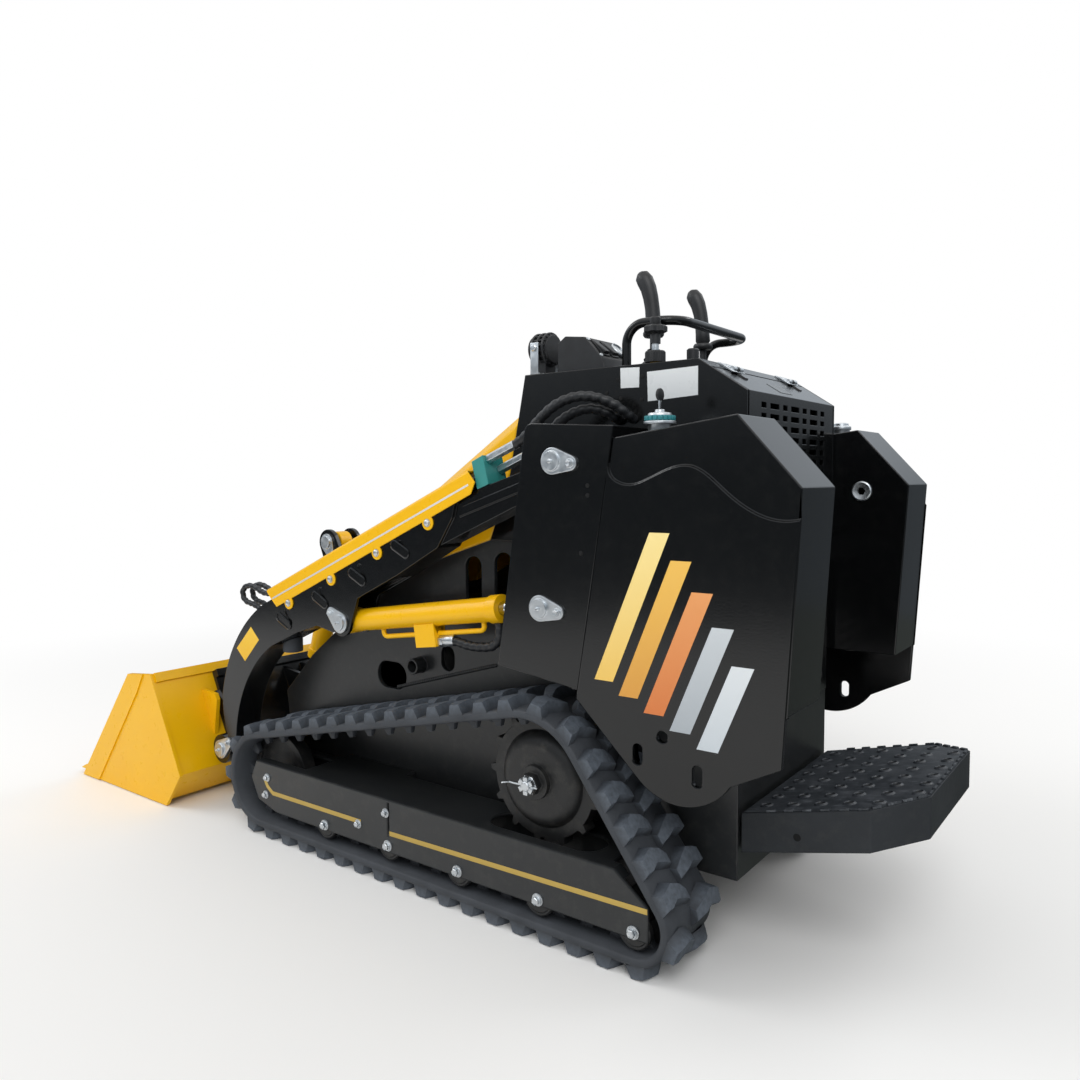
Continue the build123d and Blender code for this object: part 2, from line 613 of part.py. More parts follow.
# Instrument box: raked face towards the operator, on the left of the console top
BOX_OUT = BODY_HALF - 15.0
BOX_W = 120.0
BOX = [
    (188, CONSOLE_TOP), (312, CONSOLE_TOP), (312, CONSOLE_TOP + 64), (292, CONSOLE_TOP + 78),
    (240, CONSOLE_TOP + 72),
    (196, CONSOLE_TOP + 24),
]
BOX_ROUND = 6.0
with BuildPart() as instrument_box:
    plate(BOX, BOX_OUT, BOX_OUT - BOX_W)
    fillet(instrument_box.edges().filter_by(Axis.Y).sort_by(Axis.Z)[-2:], BOX_ROUND)
export_one(instrument_box.part, "instrument_box")

# Work lamp: round finned body on a bracket at the front of the console top
LAMP = (BODY_HALF - 42.0, CONSOLE_TOP + 58.0)
LAMP_FRONT_X = 392.0
LAMP_DEPTH = 52.0
LAMP_R = 32.0
FIN_R = 38.0
FIN_T = 6.0
FIN_PITCH = 15.0
FINS = 3
LAMP_FOOT = (30.0, 40.0)
with BuildPart() as work_lamp:
    with BuildSketch(level(CONSOLE_TOP)):
        with Locations((LAMP_FRONT_X - LAMP_DEPTH / 2, LAMP[0])):
            Rectangle(*LAMP_FOOT)
    extrude(amount=LAMP[1] - CONSOLE_TOP - LAMP_R + SHEET)
    with BuildSketch(across(LAMP_FRONT_X - LAMP_DEPTH)):
        with Locations(LAMP):
            Circle(LAMP_R)
    extrude(amount=LAMP_DEPTH)
    for fin in range(FINS):
        with BuildSketch(across(LAMP_FRONT_X - LAMP_DEPTH + SHEET + fin * FIN_PITCH)):
            with Locations(LAMP):
                Circle(FIN_R)
        extrude(amount=FIN_T)
export_one(work_lamp.part, "work_lamp")

# Control levers: boot, stem and a grip that curves forward
LEVER_YS = (120.0, -120.0)
LEVER_X = 135.0
BOOT_R = 34.0
BOOT_TOP_R = 15.0
BOOT_H = 46.0
STEM_R = 8.0
GRIP_R = 18.0
GRIP_BOTTOM = CONSOLE_TOP + 94.0
GRIP_BEND = (140.0, CONSOLE_TOP + 159.0)
GRIP_TOP = (160.0, CONSOLE_TOP + 214.0)
with BuildPart() as levers:
    for y in LEVER_YS:
        with BuildSketch(level(CONSOLE_TOP)) as boot:
            with Locations((LEVER_X, y)):
                Circle(BOOT_R)
        with BuildSketch(level(CONSOLE_TOP + BOOT_H)) as boot_top:
            with Locations((LEVER_X, y)):
                Circle(BOOT_TOP_R)
        loft([boot.sketch.face(), boot_top.sketch.face()])
        with BuildSketch(level(CONSOLE_TOP + BOOT_H)) as stem:
            with Locations((LEVER_X, y)):
                Circle(STEM_R)
        extrude(stem.sketch, amount=GRIP_BOTTOM - CONSOLE_TOP - BOOT_H)
        with BuildLine(side(y)) as grip_line:
            ThreePointArc((LEVER_X, GRIP_BOTTOM), GRIP_BEND, GRIP_TOP)
        with BuildSketch(Plane(origin=grip_line.line @ 0, z_dir=grip_line.line % 0)) as grip:
            Circle(GRIP_R)
        sweep(grip.sketch, path=grip_line.wires()[0])
export_one(levers.part, "control_levers")

# Hand rail: bent tube that stands on the console and loops back round the levers
RAIL_R = 10.0
RAIL_TOP = CONSOLE_TOP + 96.0
RAIL_FRONT_X = 165.0
RAIL_REAR_X = 45.0
RAIL_HALF = BODY_HALF - 66.0
with BuildPart() as rail:
    pipe([(RAIL_FRONT_X, RAIL_HALF, CONSOLE_TOP), (RAIL_FRONT_X, RAIL_HALF, RAIL_TOP),
          (RAIL_REAR_X, RAIL_HALF, RAIL_TOP), (RAIL_REAR_X, -RAIL_HALF, RAIL_TOP),
          (RAIL_FRONT_X, -RAIL_HALF, RAIL_TOP), (RAIL_FRONT_X, -RAIL_HALF, CONSOLE_TOP)], RAIL_R)
export_one(rail.part, "hand_rail")

# Operator's platform: tilted deck with upright skirts and cut rear corners
DECK_FRONT = (CHASSIS_REAR_X - SHEET, 290.0)
DECK_REAR = (PLATFORM_REAR_X, 371.0)
DECK_INSET = 3.0
DECK_HALF = BODY_HALF - DECK_INSET
SKIRT_H = 80.0
CORNER_X = -384.0
CORNER_HALF = DECK_HALF - 79.0
DECK_SLOPE = (DECK_REAR[1] - DECK_FRONT[1]) / (DECK_FRONT[0] - DECK_REAR[0])
PAST = 50.0                    # cutting shapes run this far past the deck


def deck_plan(inset):
    """Plan of the deck in the active line builder, moved in from its edges."""
    Polyline((DECK_FRONT[0] - inset, DECK_HALF - inset), (CORNER_X, DECK_HALF - inset),
             (DECK_REAR[0] + inset, CORNER_HALF - inset / 2), (DECK_REAR[0] + inset, inset / 2 - CORNER_HALF),
             (CORNER_X, inset - DECK_HALF), (DECK_FRONT[0] - inset, inset - DECK_HALF), close=True)


with BuildPart() as platform:
    plate([DECK_FRONT, DECK_REAR, (DECK_REAR[0], DECK_REAR[1] - SKIRT_H),
           (DECK_FRONT[0], DECK_FRONT[1] - SKIRT_H)],
          DECK_HALF, -DECK_HALF)
    with BuildSketch(level(0)) as outside:
        with BuildLine():
            deck_plan(0)
        make_face()
    extrude(outside.sketch, amount=DECK_REAR[1], mode=Mode.INTERSECT)
    with BuildPart(mode=Mode.PRIVATE) as deck_room:
        with BuildSketch(level(0)) as inside:
            with BuildLine():
                deck_plan(SHEET)
            make_face()
        extrude(inside.sketch, amount=DECK_REAR[1])
        plate([(DECK_FRONT[0] + PAST, DECK_FRONT[1] - SHEET - PAST * DECK_SLOPE),
               (DECK_REAR[0] - PAST, DECK_REAR[1] - SHEET + PAST * DECK_SLOPE),
               (DECK_REAR[0] - PAST, 2 * DECK_REAR[1]), (DECK_FRONT[0] + PAST, 2 * DECK_REAR[1])],
              DECK_HALF + PAST, -DECK_HALF - PAST, mode=Mode.SUBTRACT)
    add(deck_room.part, mode=Mode.SUBTRACT)
export_one(platform.part, "platform")

# Platform mount: two pads between the chassis rear wall and the platform
PAD_Y = DECK_HALF - 97.0
PAD_W = 40.0
PAD_Z = (215.0, 285.0)
with BuildPart() as platform_bracket:
    for y in (PAD_Y, -PAD_Y):
        plate([(CHASSIS_REAR_X, PAD_Z[0]), (CHASSIS_REAR_X, PAD_Z[1]), (DECK_FRONT[0], PAD_Z[1]),
               (DECK_FRONT[0], PAD_Z[0])], y + PAD_W / 2, y - PAD_W / 2)
export_one(platform_bracket.part, "platform_bracket")

# Engine hood between the console and the front of the chassis, with bevelled top edges
HOOD_REAR_Z = 1110.0
HOOD_REAR_X = CONSOLE[2][0] + (CONSOLE[3][0] - CONSOLE[2][0]) * (HOOD_REAR_Z - CONSOLE[2][1]) / (
    CONSOLE[3][1] - CONSOLE[2][1])
HOOD = [CONSOLE[1], CONSOLE[2], (HOOD_REAR_X, HOOD_REAR_Z), (960, 760), (985, 640), (977, 629), (770, 722)]
HOOD_ROOM = [(440, 700), (512, CHASSIS_TOP), (452, 960), (424, 1064), (930, 744), (960, 620)]
HOOD_BEVEL = 26.0
with BuildPart() as hood:
    plate(HOOD, BODY_HALF, -BODY_HALF)
    chamfer(hood.edges().sort_by(SortBy.LENGTH)[-2:], HOOD_BEVEL)
    plate(HOOD_ROOM, BODY_HALF - HOOD_BEVEL, HOOD_BEVEL - BODY_HALF, mode=Mode.SUBTRACT)
export_one(hood.part, "engine_hood")

# Lift arms: ribbed beam from the tower, then side plates, cylinder lug and gooseneck to the bucket pin
PLATE_TOP_REAR = (480.0, 934.0)
NECK_TOP = (1205.0, 614.0)
NECK_FRONT = (1405.0, 340.0)
NECK_LOW = (1385.0, 215.0)
NECK_INSIDE = (1345.0, 215.0)
NECK_ROOT = (1167.0, 505.0)
PLATE_BOTTOM = [
    NECK_ROOT, (1057, 552), (975, 578), (915, 566), (850, 576), (819, 660), (677, 726), (545, 796),
    (498, 866),
    PLATE_TOP_REAR,
]
BEAM_STEP = 8.0                # the beam is narrower than the plates on each side
BEAM = [(178, 1005), (311, 965), (415, 934), (560, 884), (600, 780), (560, 794), (332, 889), (178, 946)]
RIB = [(311, 943), (470, 892), (480, 868), (311, 923)]
RIB_T = 5.0
EYE_SLOT = [(700, 480), (1000, 480), (940, 610), (900, 655), (819, 672), (700, 722)]
EYE_SLOT_HALF = BARREL_R + FREE / 2
PLUG_WELDS = ((1091.0, 591.0), (950.0, 657.0), (800.0, 725.0), (656.0, 787.0))
PLUG_LEN = 46.0
PLUG_W = 14.0
PLUG_DEEP = 3.0
PLUG_TURN = 62.0


def arm_plates(mode=Mode.ADD):
    """The left arm's side plates, with the arcs of the gooseneck."""
    with BuildSketch(side(ARM_OUT)) as outline:
        with BuildLine():
            Line(PLATE_TOP_REAR, NECK_TOP)
            ThreePointArc(NECK_TOP, (1343, 488), NECK_FRONT)
            ThreePointArc(NECK_FRONT, (1402, 275), NECK_LOW)
            Polyline(NECK_LOW, BUCKET_PIN, (1385, 160), NECK_INSIDE)
            ThreePointArc(NECK_INSIDE, (1290, 385), NECK_ROOT)
            Polyline(*PLATE_BOTTOM)
        make_face()
    extrude(outline.sketch, amount=ARM_W, mode=mode)


with BuildPart() as arm:
    arm_plates()
    plate(BEAM, ARM_OUT - BEAM_STEP, ARM_IN + BEAM_STEP)
    plate(RIB, ARM_OUT - BEAM_STEP + RIB_T, ARM_IN + BEAM_STEP - RIB_T)
    disc(ARM_PIVOT, ARM_BOSS_R, ARM_OUT, ARM_IN)
    disc(BUCKET_PIN, ARM_BOSS_R, ARM_OUT, ARM_IN)
    disc(LIFT_BASE, LUG_BOSS_R, ARM_OUT, ARM_IN)
    plate(EYE_SLOT, ARM_MID + EYE_SLOT_HALF, ARM_MID - EYE_SLOT_HALF, mode=Mode.SUBTRACT)
    disc(LIFT_BASE, PIN_R, ARM_OUT, ARM_IN)
    disc(ARM_PIVOT, PIN_R + RUN, ARM_OUT, ARM_IN, mode=Mode.SUBTRACT)
    disc(BUCKET_PIN, PIN_R + RUN, ARM_OUT, ARM_IN, mode=Mode.SUBTRACT)
    for centre in PLUG_WELDS:
        slot(centre, PLUG_LEN, PLUG_W, PLUG_TURN, ARM_OUT, ARM_OUT - PLUG_DEEP)
export_pair(arm, "lift_arm")

# Arm covers: yellow channels over the top of the arms, with bolt tabs along their lower edge
COVER_T = 4.0
COVER_REAR_TOP = (450.0, 972.0)
COVER_FRONT_TOP = (1183.0, 657.0)
COVER = [(439, 919), (427, 945), COVER_REAR_TOP, COVER_FRONT_TOP, (1162, 636), (1137, 614)]
COVER_FALL = (COVER_FRONT_TOP[1] - COVER_REAR_TOP[1]) / (COVER_FRONT_TOP[0] - COVER_REAR_TOP[0])
COVER_PAST = (400.0, 1200.0)   # the hollow runs out at both ends
COVER_TABS = ((1085.0, 629.0), (913.0, 703.0), (742.0, 777.0), (571.0, 853.0))
TAB_R = 17.0
COVER_ROUND = 9.0


def cover_top(x, below):
    """Point on the cover's top line, or below it."""
    return (x, COVER_REAR_TOP[1] + (x - COVER_REAR_TOP[0]) * COVER_FALL - below)


with BuildPart() as arm_cover:
    plate(COVER, ARM_OUT + COVER_T, ARM_IN - COVER_T)
    for tab in COVER_TABS:
        disc(tab, TAB_R, ARM_OUT + COVER_T, ARM_OUT)
        disc(tab, TAB_R, ARM_IN, ARM_IN - COVER_T)
    fillet(arm_cover.edges().sort_by(SortBy.LENGTH)[-2:], COVER_ROUND)
    plate([cover_top(COVER_PAST[0], COVER_T), cover_top(COVER_PAST[1], COVER_T), (COVER_PAST[1], 560),
           (COVER_PAST[0], 860)], ARM_OUT, ARM_IN, mode=Mode.SUBTRACT)
export_pair(arm_cover, "arm_cover")

# Steel tubes under each cover, and the fittings of the hoses at their rear
TUBE_SPREAD = 16.0             # tubes stand this far each side of the arm's middle
TUBE_YS = (ARM_MID + TUBE_SPREAD, ARM_MID - TUBE_SPREAD)
TUBE_R = 7.0
TUBE_X = (434.0, 1150.0)
TUBE_LOW = COVER_T + TUBE_R + 2
BLOCK = [(396, 941), (428, 927), (444, 990), (412, 1004)]
BLOCK_HALF = 34.0
FITTINGS = ((410.0, 995.0), (404.0, 972.0))
FITTING_RUN = (-75.0, 30.0)
FITTING_R = 11.0


def straight_bar(start, run, y, sides):
    """Hexagon or round bar from a (station, height) along a run, at one Y."""
    with BuildSketch(Plane(origin=(start[0] - MID_X, y, start[1]), z_dir=(run[0], 0, run[1]))) as section:
        if sides:
            RegularPolygon(FITTING_R, sides)
        else:
            Circle(TUBE_R)
    extrude(section.sketch, amount=hypot(*run))


with BuildPart() as arm_tubes:
    tube_start = cover_top(TUBE_X[0], TUBE_LOW)
    tube_end = cover_top(TUBE_X[1], TUBE_LOW)
    for y, start in zip(TUBE_YS, FITTINGS):
        straight_bar(tube_start, (tube_end[0] - tube_start[0], tube_end[1] - tube_start[1]), y, 0)
        straight_bar(start, FITTING_RUN, y, 6)
    plate(BLOCK, ARM_MID + BLOCK_HALF, ARM_MID - BLOCK_HALF, mode=Mode.SUBTRACT)
    mirror(about=Plane.XZ)
export_one(arm_tubes.part, "arm_tubes")

# Block on each arm's beam that joins the tubes to the fittings
with BuildPart() as manifold:
    plate(BLOCK, ARM_MID + BLOCK_HALF, ARM_MID - BLOCK_HALF)
    plate(BEAM, ARM_OUT, ARM_IN, mode=Mode.SUBTRACT)
    mirror(about=Plane.XZ)
export_one(manifold.part, "hose_manifold")

# Hoses from the fittings over the tower and into the console's side
HOSE_LEAD = (1.005, 1.3)       # straight start, as a part of the fitting's length
HOSE_ARCHES = (                # station, height and the part of the way from the arm to the body
    ((275, 1074, 0.05), (235, 1110, 0.2), (180, 1122, 0.4), (130, 1104, 0.75), (108, 1080, 1.0)),
    ((272, 1046, 0.05), (236, 1080, 0.15), (190, 1096, 0.4), (156, 1090, 0.7), (140, 1078, 1.0)),
)
HOSE_NEAR = BODY_HALF + 24.0   # the hoses turn in to the console here
with BuildPart() as arm_hoses:
    for y, start, arch in zip(TUBE_YS, FITTINGS, HOSE_ARCHES):
        lead = [(start[0] + FITTING_RUN[0] * share, y, start[1] + FITTING_RUN[1] * share)
                for share in HOSE_LEAD]
        way = [(x, y + (HOSE_NEAR - y) * share, z) for x, z, share in arch]
        pipe(lead + way + [(way[-1][0], BODY_HALF + SEAT, way[-1][2])], HOSE_R)
    mirror(about=Plane.XZ)
export_one(arm_hoses.part, "arm_hoses")

# Hose loops from the front of the tubes down to the arms
FRONT_LOOP = ((1210.0, 632.5), (1285.0, 664.0), (1330.0, 648.0), (1322.0, 612.0),
              (1262.0, 606.0), (1222.0, 585.0))
with BuildPart() as front_hoses:
    for y in TUBE_YS:
        pipe([(tube_end[0] + SEAT, y, tube_end[1])] + [(x, y, z) for x, z in FRONT_LOOP], TUBE_R)
    arm_plates(mode=Mode.SUBTRACT)
    mirror(about=Plane.XZ)
export_one(front_hoses.part, "arm_front_hoses")

# Cross tube between the arms, with two cheeks that hold the tilt cylinder's base pin
CROSS = (1235.0, 560.0)
CROSS_R = 38.0
CHEEK_IN = TILT_BARREL_R + FREE
CHEEK_T = 14.0
CHEEK_OUT = CHEEK_IN + CHEEK_T
CHEEK_TOP_R = 40.0
with BuildPart() as cross:
    disc(CROSS, CROSS_R, ARM_IN, -ARM_IN)
    for outer in (CHEEK_OUT, -CHEEK_IN):
        link((CROSS, TILT_BASE), (CROSS_R + PLATE, CHEEK_TOP_R), outer, outer - CHEEK_T)
    disc(TILT_BASE, PIN_R, CHEEK_OUT, -CHEEK_OUT)
export_one(cross.part, "arm_cross_tube")

# Bucket pins in the arms' lower bosses, and the retainers of all pins on the boom
EAR_T = 14.0
EAR_OUT = ARM_IN - FREE
LUG_TAIL = (32.0, 22.0)
BUCKET_TAIL = (-38.0, 26.0)
TILT_TAIL = (-17.0, -36.0)
with BuildPart() as boom_pins:
    disc(BUCKET_PIN, PIN_R, ARM_OUT, EAR_OUT - EAR_T)
    retainer(BUCKET_PIN, BUCKET_TAIL, ARM_OUT)
    retainer(LIFT_BASE, LUG_TAIL, ARM_OUT)
    retainer(TILT_BASE, TILT_TAIL, CHEEK_OUT)
    mirror(about=Plane.XZ)
export_one(boom_pins.part, "boom_pins")

# Rubber stops under the arms
STOP_X = 1145.0
STOP_R = 27.0
STOP_Z = (484.0, 540.0)
with BuildPart() as stops:
    with BuildSketch(level(STOP_Z[0])):
        with Locations((STOP_X, ARM_IN + STOP_R)):
            Circle(STOP_R)
    extrude(amount=STOP_Z[1] - STOP_Z[0])
    arm_plates(mode=Mode.SUBTRACT)
    mirror(about=Plane.XZ)
export_one(stops.part, "bump_stops")


def along_axis(start, end, y):
    """Plane at a pin that looks along a cylinder's axis towards its other pin."""
    return Plane(origin=(start[0] - MID_X, y, start[1]), x_dir=(0, 1, 0),
                 z_dir=(end[0] - start[0], 0, end[1] - start[1]))


def round_bar(plane, radius, length, mode=Mode.ADD):
    """Round bar from a plane along its normal."""
    with BuildSketch(plane) as section:
        Circle(radius)
    extrude(section.sketch, amount=length, mode=mode)


BARREL_FOOT = 20.0             # a barrel starts this far from its base pin
GLAND_LEN = 30.0
GLAND_STEP = 4.0
BORE_SPARE = 10.0


def barrel_body(start, end, y, radius, rod, rod_in, length, eye_w):
    """Cylinder barrel with an eye on its base pin, a gland at its mouth and the rod's bore."""
    axis = along_axis(start, end, y)
    round_bar(axis.offset(BARREL_FOOT), radius, length - BARREL_FOOT)
    round_bar(axis.offset(length - GLAND_LEN), radius + GLAND_STEP, GLAND_LEN)
    disc(start, EYE_R, y + eye_w / 2, y - eye_w / 2)
    round_bar(axis.offset(rod_in - BORE_SPARE), rod + RUN, length - rod_in + BORE_SPARE, Mode.SUBTRACT)
    disc(start, PIN_R + RUN, y + eye_w, y - eye_w, mode=Mode.SUBTRACT)


def rod_body(start, end, y, rod, rod_in, eye_w, pin_out, pin_in):
    """Rod with its eye and the pin that it carries."""
    axis = along_axis(start, end, y)
    reach = hypot(end[0] - start[0], end[1] - start[1])
    round_bar(axis.offset(rod_in), rod, reach - rod_in)
    disc(end, EYE_R, y + eye_w / 2, y - eye_w / 2)
    disc(end, PIN_R, pin_out, pin_in)


# Lift cylinders: barrel with a port block and a pipe below it, rod pinned in the tower
LIFT_ROD_IN = EYE_R + 40.0
LIFT_LEN = hypot(LIFT_ROD[0] - LIFT_BASE[0], LIFT_ROD[1] - LIFT_BASE[1])
LIFT_DIR = ((LIFT_ROD[0] - LIFT_BASE[0]) / LIFT_LEN, (LIFT_ROD[1] - LIFT_BASE[1]) / LIFT_LEN)
PORT_BACK = (265.0, 200.0)     # from the mouth of the barrel back to the ends of the port block
PORT_X = (BARREL_LEN - PORT_BACK[0], BARREL_LEN - PORT_BACK[1])    # along the barrel from the base pin
PORT_HALF = 20.0
PORT_DOWN = 76.0
PIPE_BACK = 60.0
PIPE_X = (110.0, BARREL_LEN - PIPE_BACK)
PIPE_DOWN = BARREL_R + 12 + PIPE_R
HOSE_IN_X = BARREL_LEN - GLAND_LEN / 2
HOSE_DOWN = (64.5, 84.0)       # below the axis at the port block, and where the hose turns up
HOSE_BACK = (140.0, 85.0)      # from the turn up, back to where the hose drops below the block
HOSE_DROP = (HOSE_IN_X - HOSE_BACK[0], HOSE_IN_X - HOSE_BACK[1])


def under_barrel(along, down):
    """Point at a distance along the left lift cylinder and below its axis."""
    return (LIFT_BASE[0] + along * LIFT_DIR[0] - down * LIFT_DIR[1],
            LIFT_BASE[1] + along * LIFT_DIR[1] + down * LIFT_DIR[0])


def beside_barrel(places):
    """The same as places for a tube on the arm's middle line."""
    return [(x, ARM_MID, z) for x, z in (under_barrel(*place) for place in places)]


with BuildPart() as lift_barrel:
    barrel_body(LIFT_BASE, LIFT_ROD, ARM_MID, BARREL_R, ROD_R, LIFT_ROD_IN, BARREL_LEN, EYE_W)
    plate([under_barrel(PORT_X[0], ROD_R + FREE), under_barrel(PORT_X[1], ROD_R + FREE),
           under_barrel(PORT_X[1], PORT_DOWN), under_barrel(PORT_X[0], PORT_DOWN)],
          ARM_MID + PORT_HALF, ARM_MID - PORT_HALF)
    pipe(beside_barrel([(PIPE_X[0], ROD_R + FREE), (PIPE_X[0], PIPE_DOWN), (PIPE_X[1], PIPE_DOWN),
                        (PIPE_X[1], ROD_R + FREE)]), PIPE_R)
export_pair(lift_barrel, "lift_barrel")

with BuildPart() as lift_rod:
    rod_body(LIFT_BASE, LIFT_ROD, ARM_MID, ROD_R, LIFT_ROD_IN, EYE_W, TOWER_IN - SEAT, TOWER_BACK + SEAT)
export_pair(lift_rod, "lift_rod")

# Hose from each lift cylinder's port block back to its gland
with BuildPart() as lift_hose:
    pipe(beside_barrel([(PORT_X[1] + SEAT, HOSE_DOWN[0]), (HOSE_DROP[0], HOSE_DOWN[0]),
                        (HOSE_DROP[1], HOSE_DOWN[1]),
                        (HOSE_IN_X, HOSE_DOWN[1]), (HOSE_IN_X, BARREL_R + GLAND_STEP + SEAT)]), HOSE_R)
export_pair(lift_hose, "lift_hose")

# Tilt cylinder on the middle line
TILT_ROD = (BUCKET_PIN[0] + TILT_ARM * cos(radians(TILT_ARM_DEG)),
            BUCKET_PIN[1] + TILT_ARM * sin(radians(TILT_ARM_DEG)))
with BuildPart() as tilt_barrel:
    barrel_body(TILT_BASE, TILT_ROD, 0, TILT_BARREL_R, TILT_ROD_R, TILT_ROD_IN - TILT_ROD_BACK,
                TILT_BARREL_LEN, TILT_EYE_W)
export_one(tilt_barrel.part, "tilt_barrel")

LUG_IN = TILT_EYE_W / 2 + FREE
with BuildPart() as tilt_rod:
    rod_body(TILT_BASE, TILT_ROD, 0, TILT_ROD_R, TILT_ROD_IN, TILT_EYE_W, LUG_IN - SEAT, SEAT - LUG_IN)
export_one(tilt_rod.part, "tilt_rod")

# Bucket: bent shell between two side plates, with a rim, a cutting edge and gussets on its back
BACK_LEN = hypot(BACK_TOP[0] - KNEE[0], BACK_TOP[1] - KNEE[1])
UP_BACK = ((BACK_TOP[0] - KNEE[0]) / BACK_LEN, (BACK_TOP[1] - KNEE[1]) / BACK_LEN)


def on_back(along, out):
    """Point at a distance up the bucket's back and out behind it."""
    return (KNEE[0] + along * UP_BACK[0] - out * UP_BACK[1], KNEE[1] + along * UP_BACK[1] + out * UP_BACK[0])


PLATE_Y = BUCKET_HALF - BUCKET_STRIP_T
SHELL_HALF = PLATE_Y - BUCKET_SIDE_T
EDGE_X = 1960.0                # rear of the thick cutting edge
EDGE_T = 14.0
SHELL = [
    (LIP_X, FLOOR_Z), (HEEL_X, FLOOR_Z), KNEE, BACK_TOP, on_back(BACK_LEN, -BUCKET_SHEET),
    (KNEE[0] + BUCKET_SHEET + 1, KNEE[1] + 1), (HEEL_X + 4, FLOOR_Z + BUCKET_SHEET),
    (EDGE_X - EDGE_T, FLOOR_Z + BUCKET_SHEET), (EDGE_X, FLOOR_Z + EDGE_T),
    (LIP_X - 2 * EDGE_T, FLOOR_Z + EDGE_T),
]
RIM_H = 28.0
RIM_T = 7.0
RIM = [on_back(BACK_LEN - RIM_H, 0), on_back(BACK_LEN, 0), on_back(BACK_LEN, RIM_T),
       on_back(BACK_LEN - RIM_H, RIM_T)]
BUCKET_SIDE = [(SIDE_FRONT_X, SIDE_Z), (HEEL_X - 10, SIDE_Z), (KNEE[0] - 8, KNEE[1]), BACK_TOP, SIDE_TOP]
STRIP = [(1700, 318), (1950, SIDE_Z), (SIDE_FRONT_X, SIDE_Z), SIDE_TOP, (1660, 381)]
GUSSET = [on_back(90, 0), on_back(236, 0), on_back(200, 62), on_back(180, 62)]
GUSSET_OUT = ARM_MID - 9.0
GUSSET_T = 12.0
with BuildPart() as bucket:
    plate(SHELL, SHELL_HALF, -SHELL_HALF)
    plate(RIM, SHELL_HALF, -SHELL_HALF)
    for outer in (PLATE_Y, BUCKET_SIDE_T - PLATE_Y):
        plate(BUCKET_SIDE, outer, outer - BUCKET_SIDE_T)
    for outer in (BUCKET_HALF, -PLATE_Y):
        plate(STRIP, outer, outer - BUCKET_STRIP_T)
    for outer in (GUSSET_OUT, GUSSET_T - GUSSET_OUT):
        plate(GUSSET, outer, outer - GUSSET_T)
export_one(bucket.part, "bucket")

# Hitch: plate on the bucket's back with ears on the arm pins and lugs for the tilt rod
HITCH_T = 14.0
HITCH_HALF = EAR_OUT - EAR_T
HITCH_FOOT = 20.0
HITCH_TOP = BACK_LEN - RIM_H
HITCH_LEDGE = 24.0
EAR_BOSS_R = ARM_BOSS_R - 4
EAR_TOP = 220.0
LUG_T = 14.0
LUG_R = 34.0
LUG_FEET = (on_back(80, 12), on_back(240, 12))
LUG_FOOT_R = 10.0
EAR = [on_back(HITCH_FOOT, 0), on_back(EAR_TOP, 0), on_back(EAR_TOP, HITCH_T),
       (BUCKET_PIN[0] + 8, BUCKET_PIN[1] + 37),
       BUCKET_PIN, (BUCKET_PIN[0] - 4, BUCKET_PIN[1] - 37)]
with BuildPart() as hitch:
    plate([on_back(HITCH_FOOT, 0), on_back(HITCH_TOP, 0), on_back(HITCH_TOP, HITCH_T),
           on_back(HITCH_FOOT, HITCH_T)],
          HITCH_HALF, -HITCH_HALF)
    plate([on_back(HITCH_TOP - HITCH_LEDGE, 0), on_back(HITCH_TOP, 0), on_back(HITCH_TOP, 2 * HITCH_T),
           on_back(HITCH_TOP - HITCH_LEDGE, 2 * HITCH_T)], HITCH_HALF, -HITCH_HALF)
    for outer in (EAR_OUT, EAR_T - EAR_OUT):
        plate(EAR, outer, outer - EAR_T)
        disc(BUCKET_PIN, EAR_BOSS_R, outer, outer - EAR_T)
        disc(BUCKET_PIN, PIN_R + RUN, outer, outer - EAR_T, mode=Mode.SUBTRACT)
    for outer in (LUG_IN + LUG_T, -LUG_IN):
        link((TILT_ROD,) + LUG_FEET, (LUG_R, LUG_FOOT_R, LUG_FOOT_R), outer, outer - LUG_T)
export_one(hitch.part, "hitch")
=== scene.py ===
"""Looks of a stand-on compact track loader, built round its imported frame, in metres.

+X is forward, +Y the machine's left, +Z up, and the ground is Z = 0.
"""
from math import acos, atan2, cos, hypot, pi, radians, sin, tau

import bmesh
import bpy
from mathutils import Matrix, Vector


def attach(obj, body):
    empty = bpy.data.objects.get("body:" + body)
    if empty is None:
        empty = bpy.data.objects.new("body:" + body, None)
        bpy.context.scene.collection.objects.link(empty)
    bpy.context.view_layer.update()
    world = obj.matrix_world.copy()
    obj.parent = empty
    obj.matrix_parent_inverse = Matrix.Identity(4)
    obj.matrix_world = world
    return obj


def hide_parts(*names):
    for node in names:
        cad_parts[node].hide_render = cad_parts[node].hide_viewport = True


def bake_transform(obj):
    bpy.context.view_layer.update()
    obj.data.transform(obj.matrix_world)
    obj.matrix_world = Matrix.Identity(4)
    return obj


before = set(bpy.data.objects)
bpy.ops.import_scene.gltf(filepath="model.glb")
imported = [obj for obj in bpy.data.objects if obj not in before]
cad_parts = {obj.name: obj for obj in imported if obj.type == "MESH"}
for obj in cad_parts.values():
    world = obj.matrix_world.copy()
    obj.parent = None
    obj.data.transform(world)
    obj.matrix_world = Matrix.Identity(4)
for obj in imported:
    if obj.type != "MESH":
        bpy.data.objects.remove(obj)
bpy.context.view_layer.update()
scene = bpy.context.scene

